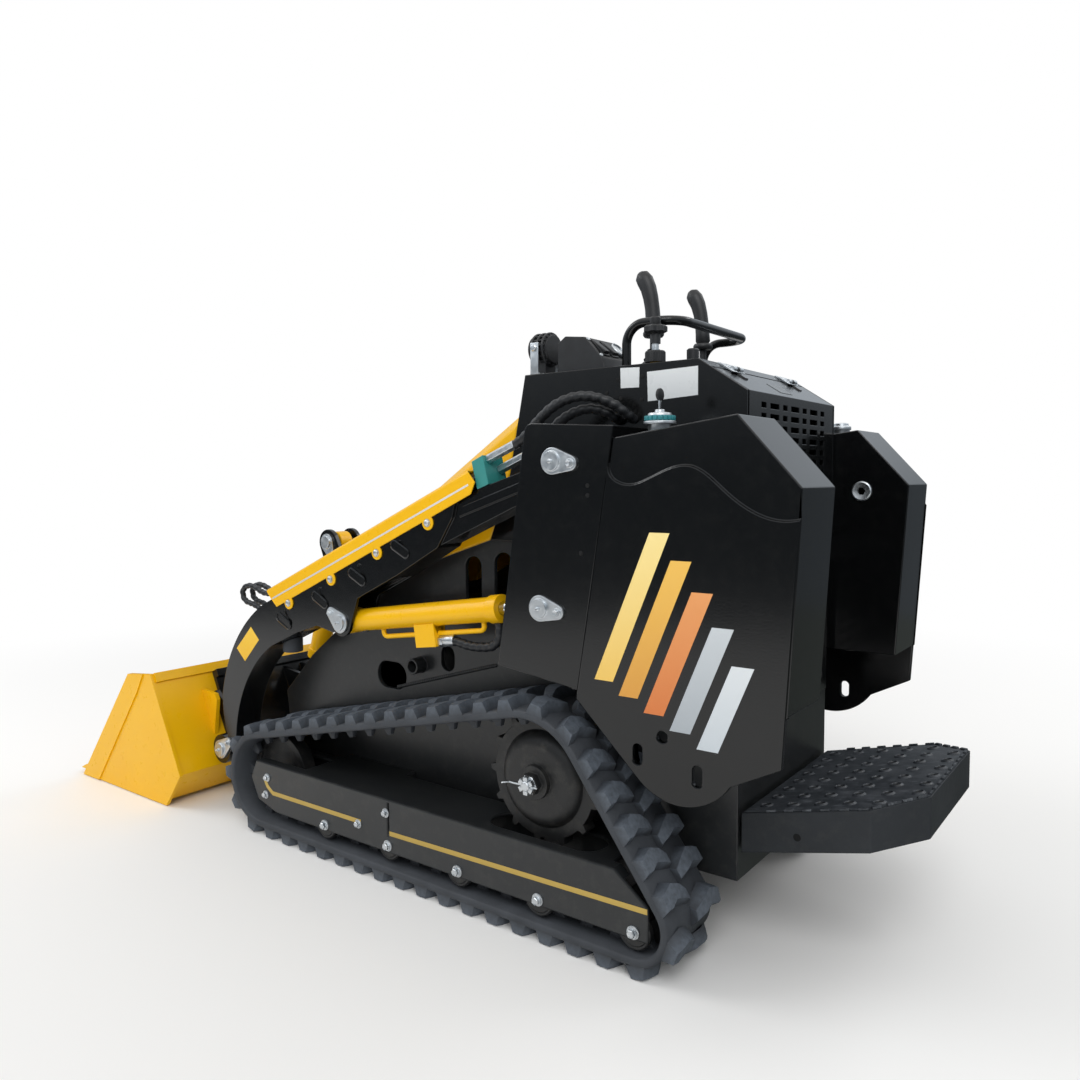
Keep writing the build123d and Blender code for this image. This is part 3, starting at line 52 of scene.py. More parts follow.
# Viewpoint: a standing person's camera behind the left rear corner, level with the arm pivots,
# that looks forward along the left side and a little down.
EYE = Vector((-1.649, 1.837, 0.946))
LOOK = Vector((0.5991, -0.7979, -0.0667)).normalized()
HEAD = Vector((0.0344, -0.0576, 0.9978))
LENS_MM = 29.28
SENSOR_MM = 36.0
camera_data = bpy.data.cameras.new("camera")
camera_data.lens = LENS_MM
camera_data.sensor_width = SENSOR_MM
camera = bpy.data.objects.new("camera", camera_data)
scene.collection.objects.link(camera)
to_right = LOOK.cross(HEAD).normalized()
turned_to = Matrix((to_right, to_right.cross(LOOK), -LOOK)).transposed()
camera.matrix_world = Matrix.Translation(EYE) @ turned_to.to_4x4()
scene.camera = camera

# Rubber tracks: one moulded loop round sprocket and idlers, two rows of staggered chevron lugs outside
# and two rows of guide horns inside. Vulcanised rubber over steel cords, scuffed pale on the lugs.
TRACK_Y = 0.360
TRACK_WHEELS = (               # x, z and the radius of the belt's inner face
    (-0.556, 0.318, 0.143),
    (0.342, 0.152, 0.110),
    (-0.817, 0.102, 0.060),
)
BELT_T = 0.018
BELT_HALF = 0.090
BELT_EDGE = 0.004
LUG_H = 0.0232
LUG_PITCH = 0.072
LUG_SUNK = 0.004
ARC_STEP = radians(5)
LUG_SECTIONS = (               # across from the edge, forward shift, half top, half foot, height
    (0.0445, 0.000, 0.0125, 0.0215, 0.90),
    (0.0300, 0.003, 0.0155, 0.0245, 1.00),
    (0.0080, 0.011, 0.0150, 0.0250, 1.00),
    (-0.0180, 0.002, 0.0140, 0.0240, 1.00),
    (-0.0430, -0.010, 0.0090, 0.0200, 0.62),
)
LUG_SHOULDER = 0.80            # share of a lug's height where its flanks turn steep
LUG_SPREAD = 0.18
WORN_SHARE = 0.558             # share of a lug's height above which it is worn pale
HORN_ROWS = (0.031, -0.031)
HORN_SECTIONS = ((0.002, 0.017, 0.008), (-0.014, 0.0105, 0.0075), (-0.024, 0.007, 0.0055))


def linear(code):
    """Linear colour of an sRGB hex value."""
    parts = [int(code[index:index + 2], 16) / 255 for index in (1, 3, 5)]
    return tuple(v / 12.92 if v <= 0.04045 else ((v + 0.055) / 1.055) ** 2.4 for v in parts) + (1.0,)


def add(tree, kind, inputs=None, **settings):
    """Add a node with its settings, and fill or link its inputs."""
    made = tree.nodes.new(kind)
    for name, value in settings.items():
        setattr(made, name, value)
    for socket, value in (inputs or {}).items():
        if isinstance(value, bpy.types.NodeSocket):
            tree.links.new(value, made.inputs[socket])
        else:
            made.inputs[socket].default_value = value
    return made


def blank(name, roughness=0.5, metallic=0.0):
    """A material with its tree and shader."""
    material = bpy.data.materials.new(name)
    material.use_nodes = True
    shader = material.node_tree.nodes["Principled BSDF"]
    shader.inputs["Roughness"].default_value = roughness
    shader.inputs["Metallic"].default_value = metallic
    return material, material.node_tree, shader


def grain(size_mm):
    """Texture scale, in metres of Object space, that gives features of a size."""
    return 1000.0 / size_mm


def noise(tree, size_mm, detail=2.0, rough=0.5):
    """Cloudy pattern with features of a size, from 0 to 1."""
    where = add(tree, "ShaderNodeTexCoord").outputs["Object"]
    return add(tree, "ShaderNodeTexNoise", {"Vector": where, "Scale": grain(size_mm), "Detail": detail,
                                            "Roughness": rough}).outputs["Fac"]


def between(tree, share, low, high):
    """Colour that runs from one to another with a share, each a hex value or a node's output."""
    ends = [linear(end) if isinstance(end, str) else end for end in (low, high)]
    return add(tree, "ShaderNodeMix", {0: share, 6: ends[0], 7: ends[1]}, data_type="RGBA").outputs[2]


def spread(tree, value, start, end, low, high, **settings):
    """Value carried from one range to another."""
    ranges = {0: value, 1: start, 2: end, 3: low, 4: high}
    return add(tree, "ShaderNodeMapRange", ranges, **settings).outputs[0]


def maths(tree, operation, *values, **settings):
    """Result of one operation on numbers or nodes' outputs."""
    return add(tree, "ShaderNodeMath", dict(enumerate(values)), operation=operation, **settings).outputs[0]


def wear(tree, shader, colour=None, rough=None, height=None, strength=0.0, depth=0.0):
    """Link a colour, a roughness and a relief to a shader."""
    if colour:
        tree.links.new(colour, shader.inputs["Base Color"])
    if rough:
        tree.links.new(rough, shader.inputs["Roughness"])
    if height:
        bump = add(tree, "ShaderNodeBump", {"Strength": strength, "Distance": depth, "Height": height})
        tree.links.new(bump.outputs[0], shader.inputs["Normal"])


def loft(rings):
    """Solid skinned over rings of points, with both ends closed."""
    bm = bmesh.new()
    loops = [[bm.verts.new(point) for point in ring] for ring in rings]
    for low, high in zip(loops, loops[1:]):
        for k in range(len(low)):
            bm.faces.new((low[k - 1], low[k], high[k], high[k - 1]))
    bm.faces.new(loops[0])
    bm.faces.new(loops[-1])
    bmesh.ops.recalc_face_normals(bm, faces=bm.faces)
    return bm


def meshed(bm, name, round_by=0.0, crease_deg=35):
    """Plain mesh of a solid, with eased edges and smooth shading up to a crease."""
    if round_by:
        sharp = [edge for edge in bm.edges if edge.calc_face_angle(0) > radians(crease_deg)]
        bmesh.ops.bevel(bm, geom=sharp, offset=round_by, segments=2, profile=0.5, affect="EDGES",
                        clamp_overlap=True)
    mesh = bpy.data.meshes.new(name)
    bm.to_mesh(mesh)
    bm.free()
    mesh.shade_smooth()
    mesh.set_sharp_from_angle(angle=radians(crease_deg))
    return mesh


def piece(name, mesh, finish, body):
    """Shown piece of one finish that moves with a body."""
    mesh.materials.clear()
    mesh.materials.append(finish)
    made = bpy.data.objects.new(name, mesh)
    scene.collection.objects.link(made)
    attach(made, body)
    return made


def mirrored(mesh):
    """Copy of a mesh on the machine's other side."""
    other = mesh.copy()
    other.transform(Matrix.Scale(-1, 4, (0, 1, 0)))
    other.flip_normals()
    return other


def track_loop():
    """Points of the belt's inner face and their outward angles, forward along the top run."""
    stations = []
    wheels = list(TRACK_WHEELS)
    normals = []
    for (ax, az, ar), (bx, bz, br) in zip(wheels, wheels[1:] + wheels[:1]):
        apart = hypot(bx - ax, bz - az)
        normals.append(atan2(bz - az, bx - ax) + acos((ar - br) / apart))
    for index, (x, z, radius) in enumerate(wheels):
        start, end = normals[index - 1], normals[index]
        turn = (start - end) % tau
        steps = max(2, round(turn / ARC_STEP))
        for step in range(steps + 1):
            angle = start - turn * step / steps
            stations.append((x + radius * cos(angle), z + radius * sin(angle), angle))
    return stations


# Moulded rubber: matt charcoal, with a faint blue bloom, and pale where the lugs touch the ground.
moulded_rubber, tree, shader = blank("moulded_rubber", 0.62)
speck = noise(tree, 9, 4.0)
bloom = between(tree, noise(tree, 70, 5.0), "#2A2D31", "#45494F")
worn = add(tree, "ShaderNodeAttribute", attribute_name="worn").outputs["Fac"]
rubbed = spread(tree, speck, 0.30, 0.70, 0.35, 0.90)
share = maths(tree, "MULTIPLY", worn, rubbed)
wear(tree, shader, between(tree, share, bloom, "#59616B"), None, speck, 0.35, 0.0012)
shader.inputs["Specular IOR Level"].default_value = 0.35

loop = track_loop()
belt_profile = [
    (-BELT_HALF, BELT_EDGE), (-BELT_HALF, BELT_T - BELT_EDGE), (BELT_EDGE - BELT_HALF, BELT_T),
    (BELT_HALF - BELT_EDGE, BELT_T), (BELT_HALF, BELT_T - BELT_EDGE), (BELT_HALF, BELT_EDGE),
    (BELT_HALF - BELT_EDGE, 0), (BELT_EDGE - BELT_HALF, 0),
]
belt = bmesh.new()
rings = [[belt.verts.new((x + h * cos(a), v, z + h * sin(a))) for v, h in belt_profile] for x, z, a in loop]
for ring, following in zip(rings, rings[1:] + rings[:1]):
    for k in range(len(ring)):
        belt.faces.new((ring[k - 1], ring[k], following[k], following[k - 1]))
bmesh.ops.recalc_face_normals(belt, faces=belt.faces)
belt_mesh = meshed(belt, "belt", crease_deg=50)


def lug_mesh(side):
    """One lug of a row, chevron in plan and tapered, with its worn top marked."""
    rings = []
    for out, shift, half_top, half_foot, tall in LUG_SECTIONS:
        top = BELT_T + LUG_H * tall
        shoulder = BELT_T + LUG_H * tall * LUG_SHOULDER
        y = side * (out + BELT_HALF / 2)
        half_mid = half_top + LUG_SPREAD * (half_foot - half_top)
        rings.append([(shift - half_foot, y, BELT_T - LUG_SUNK), (shift - half_mid, y, shoulder),
                      (shift - half_top, y, top), (shift + half_top, y, top), (shift + half_mid, y, shoulder),
                      (shift + half_foot, y, BELT_T - LUG_SUNK)])
    mesh = meshed(loft(rings), "lug", crease_deg=40)
    worn_top = mesh.attributes.new("worn", "FLOAT", "POINT")
    for vertex in mesh.vertices:
        worn_top.data[vertex.index].value = 1.0 if vertex.co.z > BELT_T + WORN_SHARE * LUG_H else 0.0
    return mesh


def horn_mesh():
    """The pair of guide horns at one pitch, pointing into the loop."""
    both = bmesh.new()
    for row in HORN_ROWS:
        rings = []
        for z, half_x, half_y in HORN_SECTIONS:
            rings.append([(-half_x, row - half_y, z), (half_x, row - half_y, z), (half_x, row + half_y, z),
                          (-half_x, row + half_y, z)])
        one = bpy.data.meshes.new("horn")
        loft(rings).to_mesh(one)
        both.from_mesh(one)
    return meshed(both, "horns", round_by=0.002)


def node_tree(name, output, *inputs):
    """Geometry tree with named inputs, their identifiers and their sockets inside the tree."""
    tree = bpy.data.node_groups.new(name, "GeometryNodeTree")
    identifiers = {}
    for label, kind in inputs:
        socket = tree.interface.new_socket(label, in_out="INPUT", socket_type="NodeSocket" + kind)
        identifiers[label] = socket.identifier
    tree.interface.new_socket(output, in_out="OUTPUT", socket_type="NodeSocketGeometry")
    return tree, identifiers, add(tree, "NodeGroupInput").outputs


def end_tree(tree, output, shape, finish):
    """Make a tree's copies real, coat them, and hand them out."""
    solid = add(tree, "GeometryNodeRealizeInstances", {"Geometry": shape})
    coated = add(tree, "GeometryNodeSetMaterial", {"Geometry": solid.outputs[0], "Material": finish})
    add(tree, "NodeGroupOutput", {output: coated.outputs["Geometry"]})


def as_mesh(made):
    """Plain mesh of an object as its modifiers leave it."""
    return bpy.data.meshes.new_from_object(made.evaluated_get(bpy.context.evaluated_depsgraph_get()))


tread, tread_inputs, given = node_tree(
    "tread", "Track", ("Belt", "Geometry"), ("Path", "Object"), ("Pitches", "Int"), ("Outer Lug", "Object"),
    ("Inner Lug", "Object"), ("Horns", "Object"), ("Rubber", "Material"))
path = add(tread, "GeometryNodeObjectInfo", {"Object": given["Path"]}).outputs["Geometry"]
line = add(tread, "GeometryNodeMeshToCurve", {"Mesh": path}).outputs["Curve"]
halves = maths(tread, "MULTIPLY", given["Pitches"], 2.0)
spots = add(tread, "GeometryNodeResampleCurve", {"Curve": line, "Count": halves}).outputs["Curve"]
heading = add(tread, "GeometryNodeInputTangent").outputs["Tangent"]
facing = add(tread, "FunctionNodeAlignRotationToVector", {"Vector": heading}, axis="X", pivot_axis="Y")
odd = maths(tread, "MODULO", add(tread, "GeometryNodeInputIndex").outputs[0], 2.0)
even = maths(tread, "SUBTRACT", 1.0, odd)
together = add(tread, "GeometryNodeJoinGeometry", {"Geometry": given["Belt"]})
for label, chosen in (("Outer Lug", odd), ("Inner Lug", even), ("Horns", odd)):
    shape = add(tread, "GeometryNodeObjectInfo", {"Object": given[label]}).outputs["Geometry"]
    copies = add(tread, "GeometryNodeInstanceOnPoints", {
        "Points": spots, "Selection": chosen, "Instance": shape, "Rotation": facing.outputs["Rotation"]})
    tread.links.new(copies.outputs["Instances"], together.inputs["Geometry"])
end_tree(tread, "Track", together.outputs["Geometry"], given["Rubber"])

path_mesh = bpy.data.meshes.new("track_path")
path_mesh.from_pydata([(x, 0, z) for x, z, angle in loop],
                      [(k, (k + 1) % len(loop)) for k in range(len(loop))], [])
loop_length = sum(hypot(a[0] - b[0], a[1] - b[1]) for a, b in zip(loop, loop[1:] + loop[:1])) + pi * BELT_T
helpers = {
    "Path": bpy.data.objects.new("track_path", path_mesh),
    "Outer Lug": bpy.data.objects.new("outer_lug", lug_mesh(1)),
    "Inner Lug": bpy.data.objects.new("inner_lug", lug_mesh(-1)),
    "Horns": bpy.data.objects.new("guide_horns", horn_mesh()),
}
belt_object = bpy.data.objects.new("belt", belt_mesh)
for made in [belt_object, *helpers.values()]:
    scene.collection.objects.link(made)
modifier = belt_object.modifiers.new("tread", "NODES")
modifier.node_group = tread
for label, made in helpers.items():
    modifier[tread_inputs[label]] = made
modifier[tread_inputs["Pitches"]] = round(loop_length / LUG_PITCH)
modifier[tread_inputs["Rubber"]] = moulded_rubber
track_mesh = as_mesh(belt_object)
for made in [belt_object, *helpers.values()]:
    bpy.data.objects.remove(made)
track_mesh.transform(Matrix.Translation((0, TRACK_Y, 0)))
for name, mesh in (("rubber_track_left", track_mesh), ("rubber_track_right", mirrored(track_mesh))):
    track = piece(name, mesh, moulded_rubber, "chassis")
    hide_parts(name.replace("rubber_", ""))

# Rollers, idlers and sprockets: cast and turned iron inside the tracks, sprayed black with the rest
# and already dusty. They turn on hexagon axles in the track frames.
EASED = 0.0015                 # rounding of most sharp edges
MERGE_WITHIN = 1e-5
FLAT_DEG = 0.5
SHARP_DEG = 38


def dress(finish, edge, *nodes, clamp=False):
    """Give solids of the frame a finish, and ease their sharp edges."""
    for name in nodes:
        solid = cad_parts[name]
        solid.data.materials.clear()
        solid.data.materials.append(finish)
        weld = solid.modifiers.new("weld", "WELD")
        weld.merge_threshold = MERGE_WITHIN
        flat = solid.modifiers.new("flat", "DECIMATE")
        flat.decimate_type = "DISSOLVE"
        flat.angle_limit = radians(FLAT_DEG)
        ease = solid.modifiers.new("ease", "BEVEL")
        ease.width = edge
        ease.segments = 2
        ease.limit_method = "ANGLE"
        ease.angle_limit = radians(SHARP_DEG)
        ease.use_clamp_overlap = clamp
        shade = solid.modifiers.new("shade", "WEIGHTED_NORMAL")
        shade.keep_sharp = True


def paint(name, colour, shade, rough, peel, haze):
    """Sprayed or powder-coated metal: two close tones, an orange-peel skin and a thin dusty haze."""
    material, tree, shader = blank(name)
    dust = noise(tree, 28, 6.0, 0.7)
    tone = between(tree, noise(tree, 160, 4.0), colour, shade)
    dusty = between(tree, spread(tree, dust, 0.50, 0.80, 0.0, haze), tone, "#8A867C")
    sheen = spread(tree, dust, 0.3, 0.8, rough * 0.94, rough * 1.15)
    wear(tree, shader, dusty, sheen, noise(tree, 4), peel, 0.0006)
    return material


# Sprayed iron: dull, near-black, with dust that greys it.
sprayed_iron = paint("sprayed_iron", "#121314", "#1F1F1F", 0.44, 0.30, 0.12)
dress(sprayed_iron, EASED, "road_rollers_left", "road_rollers_right", "front_idler_left", "front_idler_right",
      "drive_sprocket_left", "drive_sprocket_right")

# Castle nut, washer and split pin on each drive hub: turned and milled steel, zinc-plated. The nut is drawn
# up on the sprocket's shaft, and the pin is bent over to lock it.
HUB = Vector((-0.556, 0.428, 0.318))
NUT_R = 0.0215
NUT_TEETH = 6
NUT_TOOTH = (0.009, 0.011, 0.009)
NUT_TOOTH_AT = (0.0145, 0, 0.002)
PIN_LEN = 0.074
PIN_R = 0.0022
PIN_AT = Vector((0.008, 0, 0.0075))            # middle of the split pin, from the hub's face
PIN_BEND = radians(38)
SMALL_EDGE = 0.0008


def turned(profile, sides=28, centre=(0, 0, 0)):
    """Solid of (radius, height) pairs turned about Z through a centre."""
    rings = []
    for radius, height in profile:
        rings.append([(centre[0] + radius * cos(tau * k / sides), centre[1] + radius * sin(tau * k / sides),
                       centre[2] + height) for k in range(sides)])
    return loft(rings)


def joined(name, parts, round_by=0.0, crease_deg=35):
    """One mesh of several solids, each with its place."""
    whole = bmesh.new()
    for bm, place in parts:
        one = bpy.data.meshes.new(name)
        bm.to_mesh(one)
        bm.free()
        one.transform(place)
        whole.from_mesh(one)
    bmesh.ops.recalc_face_normals(whole, faces=whole.faces)
    return meshed(whole, name, round_by, crease_deg)


def assembled(name, parts, finish, body, round_by=0.0, crease_deg=35):
    """Shown piece of several solids, each with its place."""
    return piece(name, joined(name, parts, round_by, crease_deg), finish, body)


def facing_out(x, y, z, spin=0.0):
    """Place at a point of a side, with local Z out to that side."""
    lean = -pi / 2 if y > 0 else pi / 2
    return Matrix.Translation((x, y, z)) @ Matrix.Rotation(spin, 4, "Y") @ Matrix.Rotation(lean, 4, "X")


def box_solid(size, low=False):
    """Block about its own middle, or on its own base."""
    half = Vector(size) / 2
    base = 0.0 if low else -half.z
    rings = []
    for z in (base, base + size[2]):
        rings.append([(-half.x, -half.y, z), (half.x, -half.y, z), (half.x, half.y, z), (-half.x, half.y, z)])
    return loft(rings)


# Zinc plate: bright pale metal, clouded from satin to dull like plated bolts.
zinc_plate, tree, shader = blank("zinc_plate", 0.30, 1.0)
cloud = noise(tree, 14, 4.0)
wear(tree, shader, between(tree, cloud, "#BFC5CA", "#E6E9EB"), spread(tree, cloud, 0.3, 0.7, 0.28, 0.46))

hub_parts = []
for side in (1, -1):
    at = facing_out(HUB.x, side * HUB.y, HUB.z)
    nut = turned([(NUT_R, -0.016), (NUT_R, -0.001), (NUT_R - 0.003, 0.002), (0.016, 0.002)], 6)
    hub_parts.append((nut, at))
    for tooth in range(NUT_TEETH):
        angle = tau * (tooth + 0.5) / NUT_TEETH
        spot = Matrix.Rotation(angle, 4, "Z") @ Matrix.Translation(NUT_TOOTH_AT)
        hub_parts.append((box_solid(NUT_TOOTH, True), at @ spot))
    hub_parts.append((turned([(0.0105, 0), (0.0105, 0.012), (0.0085, 0.014)], 20), at))
    lie = Matrix.Translation(PIN_AT) @ Matrix.Rotation(radians(90), 4, "Y")
    hub_parts.append((turned([(PIN_R, -PIN_LEN / 2), (PIN_R, PIN_LEN / 2)], 8), at @ lie))
    bend = Matrix.Translation(PIN_AT + Vector((PIN_LEN / 2, 0, 0))) @ Matrix.Rotation(PIN_BEND, 4, "Y")
    hub_parts.append((turned([(PIN_R, 0), (PIN_R - 0.0004, 0.017)], 8), at @ bend))
assembled("hub_nuts", hub_parts, zinc_plate, "chassis", SMALL_EDGE)

# Track frames: folded and welded channels, satin black, that carry the wheels of each track.
# A gold vinyl line runs along the outer face, and flanged bolts hold the axles.
FRAME_FACE = 0.435
STRIPE_T = 0.0004
STRIPE_W = 0.011
STRIPES = (
    ((-0.843, 0.1335), (-0.146, 0.1185)),
    ((-0.046, 0.1235), (0.300, 0.1215), (0.322, 0.136), (0.336, 0.157)),
)
AXLE_BOLTS = ((-0.812, 0.085), (-0.584, 0.084), (-0.361, 0.085), (-0.140, 0.088), (0.088, 0.085))
COVER_BOLTS = ((-0.037, 0.117), (-0.134, 0.166), (0.330, 0.112), (0.322, 0.160))
AXLE_BOLT_SIZE = 1.35
COVER_BOLT_SIZE = 1.1
AXLE_SPIN = 0.5                # each bolt stopped at another angle
COVER_SPIN = 0.8
ROLLER_CAP_R = 0.036
FRAME_EDGE = 0.0035
HERE = Matrix.Identity(4)
# Satin black: a soft sheen over charcoal, with grey dust in its hollows.
satin_black = paint("satin_black", "#1B1D1F", "#282A2B", 0.30, 0.18, 0.07)
dress(satin_black, FRAME_EDGE, "track_frame_left", "track_frame_right")


def bolt_mesh(size):
    """Hexagon bolt with a flange and washer, its seat at Z = 0, for a washer of 20 mm times size."""
    washer = turned([(0.0100 * size, 0), (0.0100 * size, 0.0016 * size), (0.0094 * size, 0.0020 * size)], 20)
    flange = turned([(0.0086 * size, 0.0020 * size), (0.0080 * size, 0.0034 * size)], 20)
    head = turned([(0.0066 * size, 0.0030 * size), (0.0066 * size, 0.0080 * size),
                   (0.0056 * size, 0.0090 * size), (0.0044 * size, 0.0084 * size)], 6)
    return joined("bolt", [(washer, HERE), (flange, HERE), (head, HERE)])


pattern, pattern_inputs, given = node_tree(
    "pattern", "Pieces", ("Places", "Geometry"), ("Shape", "Object"), ("Finish", "Material"))
turn = add(pattern, "GeometryNodeInputNamedAttribute", {"Name": "turn"}, data_type="FLOAT_VECTOR")
facing = add(pattern, "FunctionNodeEulerToRotation", {"Euler": turn.outputs["Attribute"]})
shape = add(pattern, "GeometryNodeObjectInfo", {"Object": given["Shape"]}).outputs["Geometry"]
copies = add(pattern, "GeometryNodeInstanceOnPoints", {
    "Points": given["Places"], "Instance": shape, "Rotation": facing.outputs["Rotation"]})
end_tree(pattern, "Pieces", copies.outputs["Instances"], given["Finish"])


def repeated(name, shape, places, finish, body):
    """Shown piece with one shape at each place, a 4 by 4 matrix that turns and moves it."""
    points = bpy.data.meshes.new(name)
    points.from_pydata([place.translation for place in places], [], [])
    turns = points.attributes.new("turn", "FLOAT_VECTOR", "POINT")
    turns.data.foreach_set("vector", [angle for place in places for angle in place.to_euler()])
    sample = bpy.data.objects.new(name + "_shape", shape)
    holder = bpy.data.objects.new(name + "_places", points)
    scene.collection.objects.link(sample)
    scene.collection.objects.link(holder)
    modifier = holder.modifiers.new("pattern", "NODES")
    modifier.node_group = pattern
    modifier[pattern_inputs["Shape"]] = sample
    modifier[pattern_inputs["Finish"]] = finish
    mesh = as_mesh(holder)
    bpy.data.objects.remove(holder)
    bpy.data.objects.remove(sample)
    return piece(name, mesh, finish, body)


def ribbon(points, width):
    """Left and right edge points of a mitred line of one width, in a plane."""
    left, right = [], []
    for k, point in enumerate(points):
        here = Vector(point)
        before = (here - Vector(points[k - 1])).normalized() if k else None
        after = (Vector(points[k + 1]) - here).normalized() if k + 1 < len(points) else None
        along = ((before or after) + (after or before)).normalized()
        square = Vector((-along.y, along.x))
        reach = width / 2 / max(0.4, abs(square.dot(Vector((-(after or before).y, (after or before).x)))))
        left.append(here + square * reach)
        right.append(here - square * reach)
    return left + right[::-1]


def side_slab(outline, face, thick):
    """Plate on a side's face from an outline of (x, z), thick outwards."""
    return loft([[(x, y, z) for x, z in outline] for y in (face, face + thick)])


def vinyl(name, colours, low, high, rough=0.35):
    """Cut vinyl film, its colour running from one tone to the next with height."""
    material, tree, shader = blank(name, rough)
    where = add(tree, "ShaderNodeTexCoord").outputs["Object"]
    height = add(tree, "ShaderNodeSeparateXYZ", {0: where}).outputs["Z"]
    rise = spread(tree, height, low, high, 0.0, 1.0)
    film = spread(tree, noise(tree, 22, 5.0), 0.35, 0.75, rough * 0.8, rough * 1.5)
    wear(tree, shader, between(tree, rise, *colours), film)
    return material


# Gold vinyl: a muted metallic gold that reads as one thin line.
gold_vinyl = vinyl("gold_vinyl", ("#A98B38", "#C4A857"), 0.10, 0.16)
stripe_parts = []
for points in STRIPES:
    for side in (1, -1):
        stripe = side_slab(ribbon(points, STRIPE_W), side * FRAME_FACE, side * STRIPE_T)
        stripe_parts.append((stripe, HERE))
assembled("frame_stripes", stripe_parts, gold_vinyl, "chassis")
cap_shape = turned([(ROLLER_CAP_R, -0.016), (ROLLER_CAP_R, -0.004), (ROLLER_CAP_R - 0.003, -0.0015),
                    (ROLLER_CAP_R - 0.007, -0.003), (ROLLER_CAP_R - 0.009, -0.0015)], 32)
cap_places = [facing_out(x, side * FRAME_FACE, z) for side in (1, -1) for x, z in AXLE_BOLTS]
repeated("roller_caps", meshed(cap_shape, "roller_cap"), cap_places, sprayed_iron, "chassis")
axle_places = [facing_out(x, side * FRAME_FACE, z, AXLE_SPIN * k)
               for side in (1, -1) for k, (x, z) in enumerate(AXLE_BOLTS)]
repeated("axle_bolts", bolt_mesh(AXLE_BOLT_SIZE), axle_places, zinc_plate, "chassis")
cover_places = [facing_out(x, side * FRAME_FACE, z, COVER_SPIN * k)
                for side in (1, -1) for k, (x, z) in enumerate(COVER_BOLTS)]
repeated("frame_cover_bolts", bolt_mesh(COVER_BOLT_SIZE), cover_places, zinc_plate, "chassis")

# Chassis tub, engine and platform mount: welded plate, satin black, with the engine's iron block inside.
# A weld bead runs up the side where the upper plate meets the lower one.
BEAD_LINE = ((0.009, 0.413), (-0.324, 0.510))
BEAD_FACE = 0.2500
BEAD_PITCH = 0.0065
PLATE_EDGE = 0.002
dress(satin_black, PLATE_EDGE, "chassis", "platform_bracket")
dress(sprayed_iron, EASED, "engine_block")
bead_count = round((Vector(BEAD_LINE[1]) - Vector(BEAD_LINE[0])).length / BEAD_PITCH)
bead_lean = atan2(BEAD_LINE[1][1] - BEAD_LINE[0][1], BEAD_LINE[0][0] - BEAD_LINE[1][0])
bead_places = []
for k in range(bead_count):
    spot = Vector(BEAD_LINE[0]).lerp(Vector(BEAD_LINE[1]), k / (bead_count - 1))
    for side in (1, -1):
        bead_places.append(facing_out(spot.x, side * BEAD_FACE, spot.y, bead_lean))
ripple = turned([(0.0052, -0.001), (0.0046, 0.0014), (0.0022, 0.0024)], 10)
repeated("side_welds", meshed(ripple, "ripple", crease_deg=70), bead_places, satin_black, "chassis")

# Towers and pods: laser-cut plate and folded tanks, powder-coated and bolted to the chassis. Zinc-plated
# retainers lock the pins, and slanted bars of printed vinyl dress the outer plates.
POD_FACE = 0.420
TOWER_PINS = ((-0.619, 0.986), (-0.586, 0.689))
TOWER_TAIL = (-0.044, -0.005)
LOCK_T = 0.006
LOCK_BOLT_SIZE = 0.95
POD_EDGE = 0.0025
BAR_T = 0.0004
BAR_W = 0.042
BAR_STEP = 0.055
BAR_LEAN = 0.42                # rearward run for each metre of height
BAR_FRONT_X = -0.716
BARS = (                       # lowest and highest point of each bar, from the front
    (0.560, 0.850), (0.535, 0.800), (0.510, 0.745), (0.485, 0.685), (0.460, 0.620),
)
# Gloss powder coat: deep black that mirrors the sky and the floor.
gloss_black = paint("gloss_powder_coat", "#060708", "#0B0C0D", 0.17, 0.10, 0.012)
dress(gloss_black, PLATE_EDGE, "tower_left", "tower_right")
dress(gloss_black, POD_EDGE, "pod_left", "pod_right")
dress(zinc_plate, EASED, "arm_pivot_pins")
nipple = turned([(0.0045, 0), (0.0045, 0.003), (0.0028, 0.004), (0.0028, 0.007), (0.0015, 0.009)], 12)
nipple_mesh = meshed(nipple, "nipple")
lock_bolt = bolt_mesh(LOCK_BOLT_SIZE)
lock_places = []
nipple_places = []
for side in (1, -1):
    for x, z in TOWER_PINS:
        lock_places.append(facing_out(x + TOWER_TAIL[0], side * (POD_FACE + LOCK_T), z + TOWER_TAIL[1], x))
        nipple_places.append(facing_out(x, side * (POD_FACE + 2 * LOCK_T), z))
repeated("tower_lock_bolts", lock_bolt, lock_places, zinc_plate, "chassis")
repeated("tower_nipples", nipple_mesh, nipple_places, zinc_plate, "chassis")
# Printed vinyl: five metallic tones from gold to silver, each paler towards its top.
bar_finishes = (
    vinyl("gold_print", ("#E3B23A", "#F3DD94"), 0.45, 0.85),
    vinyl("amber_print", ("#C98632", "#F0C25A"), 0.45, 0.85),
    vinyl("orange_print", ("#C9682B", "#EBA868"), 0.45, 0.85),
    vinyl("pewter_print", ("#8F979E", "#CCD2D6"), 0.40, 0.75),
    vinyl("silver_print", ("#B4BDC4", "#E6EAEC"), 0.40, 0.75),
)
for index, ((low, high), finish) in enumerate(zip(BARS, bar_finishes)):
    front = BAR_FRONT_X - index * BAR_STEP
    outline = [(front, low), (front - BAR_LEAN * (high - low), high),
               (front - BAR_LEAN * (high - low) - BAR_W, high), (front - BAR_W, low)]
    parts = [(side_slab(outline, side * POD_FACE, side * BAR_T), HERE) for side in (1, -1)]
    assembled(f"pod_bar_{index + 1}", parts, finish, "chassis")

